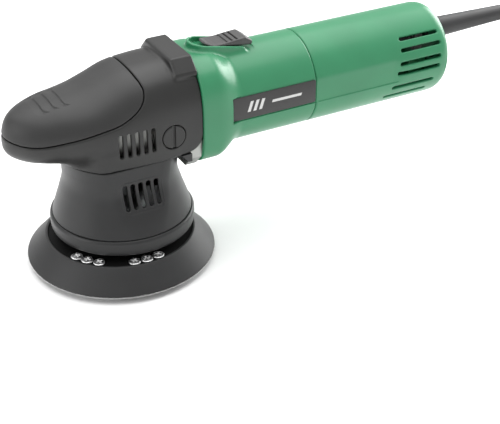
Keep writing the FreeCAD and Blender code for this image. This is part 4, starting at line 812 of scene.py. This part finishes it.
# %% Switch knob
KNOB_SIDE = [(60.2, 138), (62, 138.9), (65, 137.7), (68, 137.2), (74, 137.2), (82, 138),
             (89.5, 138.4), (94, 135.4), (94.4, 133.6), (93, 132.2), (62, 136.8)]


def knob_form(x, y, z):
    body = soft_max(outline(KNOB_SIDE, x, z), rim_outline(x, y, 8.3, 60.2, 120.0), 1.6)
    for number in range(3):
        groove = np.maximum(np.abs(x - 76.05 - 3.7 * number) - 0.65,
                            np.maximum(136.6 - z, np.abs(y) - 6.9))
        body = soft_max(body, -groove, 0.5)
    link_way = np.maximum(np.maximum(np.abs(x - 81.5) - 2.6, np.abs(y) - 2.05), z - 135)
    return np.maximum(body, -link_way)


net("knob_moulding", knob_form, (60, -8.4, 131.5), (95, 8.4, 139.5), 0.36, "knob_grey", "switch",
    ["switch_knob"], slot="dark_plastic")

# %% [markdown]
# ## Backing plate, hub disc and screws
# The pad's plate is a low cone of firm foam. A disc lies in its top, held by four groups
# of three bright screws. The disc is dark plastic, but its colour is set almost to pure
# black with weak gloss: painted shade for the deep shade under the collar ring. All are
# turned about the plate's own axis, which stands four millimetres off the spindle: that
# offset is what makes the plate orbit. The screws are domed, with a cross recess, and
# each is turned a little differently, as screws are.

# %% Backing plate and hub disc
THROW = np.array([-3.1086, -2.5173, 0.0])
turned("plate_cone", [(0, 7.9, 0), (5, 7.9, 0), (5, 13.4, 0), (48.13, 13.4, 0),
                      (48.13, 19.4, 0.4), (49.5, 19.4, 0.7), (56.2, 12.1, 3.0),
                      (62.5, 5.4, 0.4), (62.5, 4.7, 0.3), (58.5, 1.82, 0.3), (0, 1.82, 0)],
       THROW, "Z", "plate_foam", "plate", ["backing_plate"], sides=220)
# The hub disc's near-black finish is painted shade for the gap under the collar ring.
turned("hub_ring", [(4.03, 13.45, 0), (48.08, 13.45, 0), (48.08, 18.4, 0.3), (15, 18.4, 0.5),
                    (13, 20.4, 0.5), (4.03, 20.4, 0), (4.03, 13.45, 0)],
       THROW, "Z", "hub_black_and_shade", "plate", ["plate_hub"], sides=160, slot="dark_plastic")


# %% Hub screws
SCREW_CIRCLE, SCREW_SEAT, FIRST_SCREW = 44.0, 18.41, -142.2


def screw_form(x, y, z):
    from_axis = np.hypot(x, y)
    dome = np.sqrt(from_axis**2 + (z + 18.6) ** 2) - 20.0
    head = soft_max(soft_max(from_axis - 3.85, dome, 0.5), -z, 0.1)
    arms = np.minimum(np.maximum(np.abs(x) - 0.6, np.abs(y) - 2.1),
                      np.maximum(np.abs(y) - 0.6, np.abs(x) - 2.1))
    return soft_max(head, -np.maximum(arms, 0.35 - z), 0.3)


def screw_spots():
    for side in (0, 180):
        for group in (0, 1):
            for step in (-1, 0, 1):
                yield math.radians(FIRST_SCREW + side + 360.0 / 7 * group + 10.8 * step)


model = net("screw_pattern", screw_form, (-4, -4, 0), (4, 4, 1.6), 0.26, "zinc_screw", "plate")
head_points = np.array([tuple(v.co) for v in model.data.vertices]) / MM
head_faces = [tuple(face.vertices) for face in model.data.polygons]
shank_points, shank_faces = turned_points([(0, -9.5), (2.0, -9.5), (2.0, 0.1), (0, 0.1)], 16)
points, faces = [], []
for number, angle in enumerate(screw_spots()):
    twist = 2.399 * number
    spin = np.array([[math.cos(twist), math.sin(twist), 0], [-math.sin(twist), math.cos(twist), 0],
                     [0, 0, 1]])
    at = THROW + (SCREW_CIRCLE * math.cos(angle), SCREW_CIRCLE * math.sin(angle), SCREW_SEAT)
    for own_points, own_faces in ((head_points, head_faces), (shank_points, shank_faces)):
        first = sum(len(p) for p in points)
        points.append(own_points @ spin + at)
        faces += [tuple(first + k for k in face) for face in own_faces]
bpy.data.objects.remove(model, do_unlink=True)
add_mesh("screw_heads", np.concatenate(points), faces, "zinc_screw", "plate", "zinc_screw",
         ["hub_screws"], crease=32)
print("hub screws: 12")

# %% [markdown]
# ## Hook face
# Pads cling to a disc of hook fabric. Seen from the side it is a thin pale line with a
# ragged edge. The disc is turned, and short bent fibres are set where its white backing
# wraps the plate's lower edge, each a little different, from a fixed seed so that every
# run gives the same ones.

# %% Hook face
turned("hook_disc", [(0, 1.8, 0), (56.4, 1.8, 0.2), (56.6, 0.9, 0.4), (56.3, 0.02, 0.2),
                     (0, 0.02, 0)],
       THROW, "Z", "hook_fabric", "plate", ["hook_face"], sides=200)
FIBRES, FRINGE_ROOT = 1100, 62.2
chance = np.random.default_rng(7)
points, faces = [], []
for number in range(FIBRES):
    angle = 2 * math.pi * (number + chance.uniform(-0.4, 0.4)) / FIBRES
    out = np.array([math.cos(angle), math.sin(angle), 0.0])
    along = np.array([-out[1], out[0], 0.0])
    foot = out * FRINGE_ROOT + (0, 0, chance.uniform(4.5, 5.2))
    tip = foot + out * chance.uniform(0.2, 0.9) + along * chance.uniform(-0.6, 0.6)
    tip[2] = foot[2] - chance.uniform(0.1, 0.9)
    bend = (foot + tip) / 2 + out * 0.2
    first = len(points)
    for spot, thick in ((foot, 0.15), (bend, 0.13), (tip, 0.08)):
        for k in range(3):
            around = 2 * math.pi * k / 3
            points.append(spot + THROW + thick * (math.cos(around) * along
                                                  + np.array([0, 0, math.sin(around)])))
    for ring in (0, 3):
        for k in range(3):
            faces.append((first + ring + k, first + ring + (k + 1) % 3,
                          first + ring + 3 + (k + 1) % 3, first + ring + 3 + k))
    faces.append((first + 6, first + 7, first + 8))
add_mesh("hook_fibres", points, faces, "hook_fabric", "plate", "hook_fabric")
print("hook fibres:", FIBRES)

# %% [markdown]
# ## Labels
# A rating label sits in each side flat. What a real one says is left out: each label is
# a dark film with a few slanted pale bars, plain and generic. The bars are thin raised
# shapes, so they stay sharp close up.

# %% Labels
def label_plate(sign):
    """One label: a thin plate with round corners."""
    corners, count = [], 8
    for cx, cz, start in ((127.9, 107.5, 0), (68.9, 107.5, 90), (68.9, 94.1, 180),
                          (127.9, 94.1, 270)):
        for k in range(count):
            angle = math.radians(start + 90.0 * k / (count - 1))
            corners.append((cx + 1.3 * math.cos(angle), cz + 1.3 * math.sin(angle)))
    many = len(corners)
    points = [(x, sign * y, z) for y in (FLAT_Y + 0.05, FLAT_Y + 0.5) for x, z in corners]
    points += [(99.2 + (x - 99.2) * 0.996, sign * (FLAT_Y + 0.55), 101 + (z - 101) * 0.985)
               for x, z in corners]
    rows = [list(range(many)), list(range(many, 2 * many)), list(range(2 * many, 3 * many))]
    faces = [tuple(rows[0] if sign > 0 else rows[0][::-1]),
             tuple(rows[2][::-1] if sign > 0 else rows[2])]
    for low, high in zip(rows, rows[1:]):
        for k in range(many):
            face = (low[k], low[(k + 1) % many], high[(k + 1) % many], high[k])
            faces.append(face[::-1] if sign > 0 else face)
    return points, faces


def label_bars(sign):
    """Slanted bars and a short rule, a tenth of a millimetre proud."""
    shapes = []
    for number in range(3):
        left = 78.0 + 4.2 * number
        shapes.append([(left, 97.4), (left + 2.2, 97.4), (left + 4.6, 104.6), (left + 2.4, 104.6)])
    shapes.append([(96.0, 100.2), (118.0, 100.2), (118.6, 102.0), (96.6, 102.0)])
    points, faces = [], []
    for shape in shapes:
        first = len(points)
        points += [(x, sign * (FLAT_Y + rise), z) for rise in (0.54, 0.62) for x, z in shape]
        top = (first + 4, first + 5, first + 6, first + 7)
        faces.append(top if sign < 0 else top[::-1])
        for k in range(4):
            face = (first + k, first + (k + 1) % 4, first + 4 + (k + 1) % 4, first + 4 + k)
            faces.append(face if sign < 0 else face[::-1])
    return points, faces


def both_sides(maker):
    points, faces = maker(-1)
    more, more_faces = maker(1)
    return points + more, faces + [tuple(k + len(points) for k in f) for f in more_faces]


add_mesh("label_films", *both_sides(label_plate), "label_film", "housing", "label_film",
         ["label_plates"])
add_mesh("label_bars", *both_sides(label_bars), "label_ink", "housing", "label_film")
print("labels: 2")

# %% [markdown]
# ## Boot, plug, strap and dial
# The boot is the tapered rubber sleeve that stops the lead from kinking where it leaves
# the cover. The plug is a moulded body that swells from the lead to a grip, with two
# round pins. The strap holds the coil. The dial is a thumbwheel with a milled rim that
# shows through a slot below the barrel.

# %% Cord boot
turned("boot_sleeve", [(0, 221, 0), (7.2, 221, 0), (7.2, 231.8, 0), (9.0, 231.8, 0.4),
                       (9.0, 234.9, 0.4), (7.4, 234.9, 0), (7.4, 246, 2.0), (6.2, 283, 20),
                       (5.2, 316.5, 0.9), (4.4, 318.5, 0.6), (0, 318.5, 0)],
       (0, 0, BOOT_Z), "X", "black_rubber", "housing", ["cord_boot"], sides=64)


# %% Plug and pins
PLUG_AT = (503.0, 7.0, 10.5)
PLUG_ROWS = np.array([(0, 5.2, 5.2), (12, 6.2, 6.2), (18, 12.0, 8.6), (24, 17.0, 10.2),
                      (38, 18.0, 10.3), (41, 17.2, 9.6)], float)


def plug_shape(x, y, z):
    along = y - PLUG_AT[1]
    half, tall = (through(PLUG_ROWS[:, 0], PLUG_ROWS[:, k], along) for k in (1, 2))
    skin = rounded_box(x - PLUG_AT[0], z - PLUG_AT[2], half, tall, 2.4)
    ribs = 0.35 * (np.cos(along * 2 * math.pi / 3.0) > 0) * (along > 25) * (along < 37)
    return soft_max(skin / 1.25 + ribs, np.maximum(-along, along - 41.0), 1.2)


plug_piece = net("plug_moulding", plug_shape, (484, 7, 0), (522, 48, 21), 0.7, "black_rubber",
                 nodes=["plug_body"])
pin_profile = [(0, 48.02, 0), (2.4, 48.02, 0), (2.4, 57, 0), (2.3, 57.3, 0), (2.4, 57.6, 0),
               (2.4, 66.0, 0.8), (1.3, 67.0, 0.4), (0, 67.02, 0)]
pins = [turned_points(softened(pin_profile), 32) for _ in range(2)]
points, faces = [], []
for (own_points, own_faces), x in zip(pins, (493.5, 512.5)):
    first = sum(len(p) for p in points)
    points.append(AXIS_TURNS["Y"](own_points) + np.array((x, 0, PLUG_AT[2])))
    faces += [tuple(first + k for k in face) for face in own_faces]
pin_piece = add_mesh("pin_pair", np.concatenate(points), faces, "zinc_screw", "housing",
                     "zinc_screw", ["plug_pins"])


# %% Strap and dial
def strap_form(x, y, z):
    across, up = np.abs(y - 38.2) - 13.5, np.abs(z - 8.6) - 5.6
    corner = (np.hypot(np.maximum(across, 0), np.maximum(up, 0))
              + np.minimum(np.maximum(across, up), 0))
    band = np.abs(corner - 2.45) - 0.5
    return soft_max(band, np.abs(x - 428) - 4.9, 0.5)


strap_piece = net("coil_strap", strap_form, (422, 21, 0), (434, 55.2, 17.3), 0.45,
                  "dark_plastic", nodes=["coil_tie"])


def milled(angles, radius, height):
    return 0.22 * np.sign(np.sin(36 * angles)) * (1.0 if radius > 8.5 else 0.0) - 0.22


turned("dial_wheel", [(0, -2.5, 0), (8.2, -2.5, 0.3), (9.0, -1.8, 0.2), (9.0, 1.8, 0.2),
                      (8.2, 2.5, 0.3), (2.2, 2.5, 0), (2.2, 8.5, 0), (0, 8.5, 0)],
       (216, 0, 75), "Y", "dark_plastic", "dial", ["speed_dial"], sides=216, swell=milled)
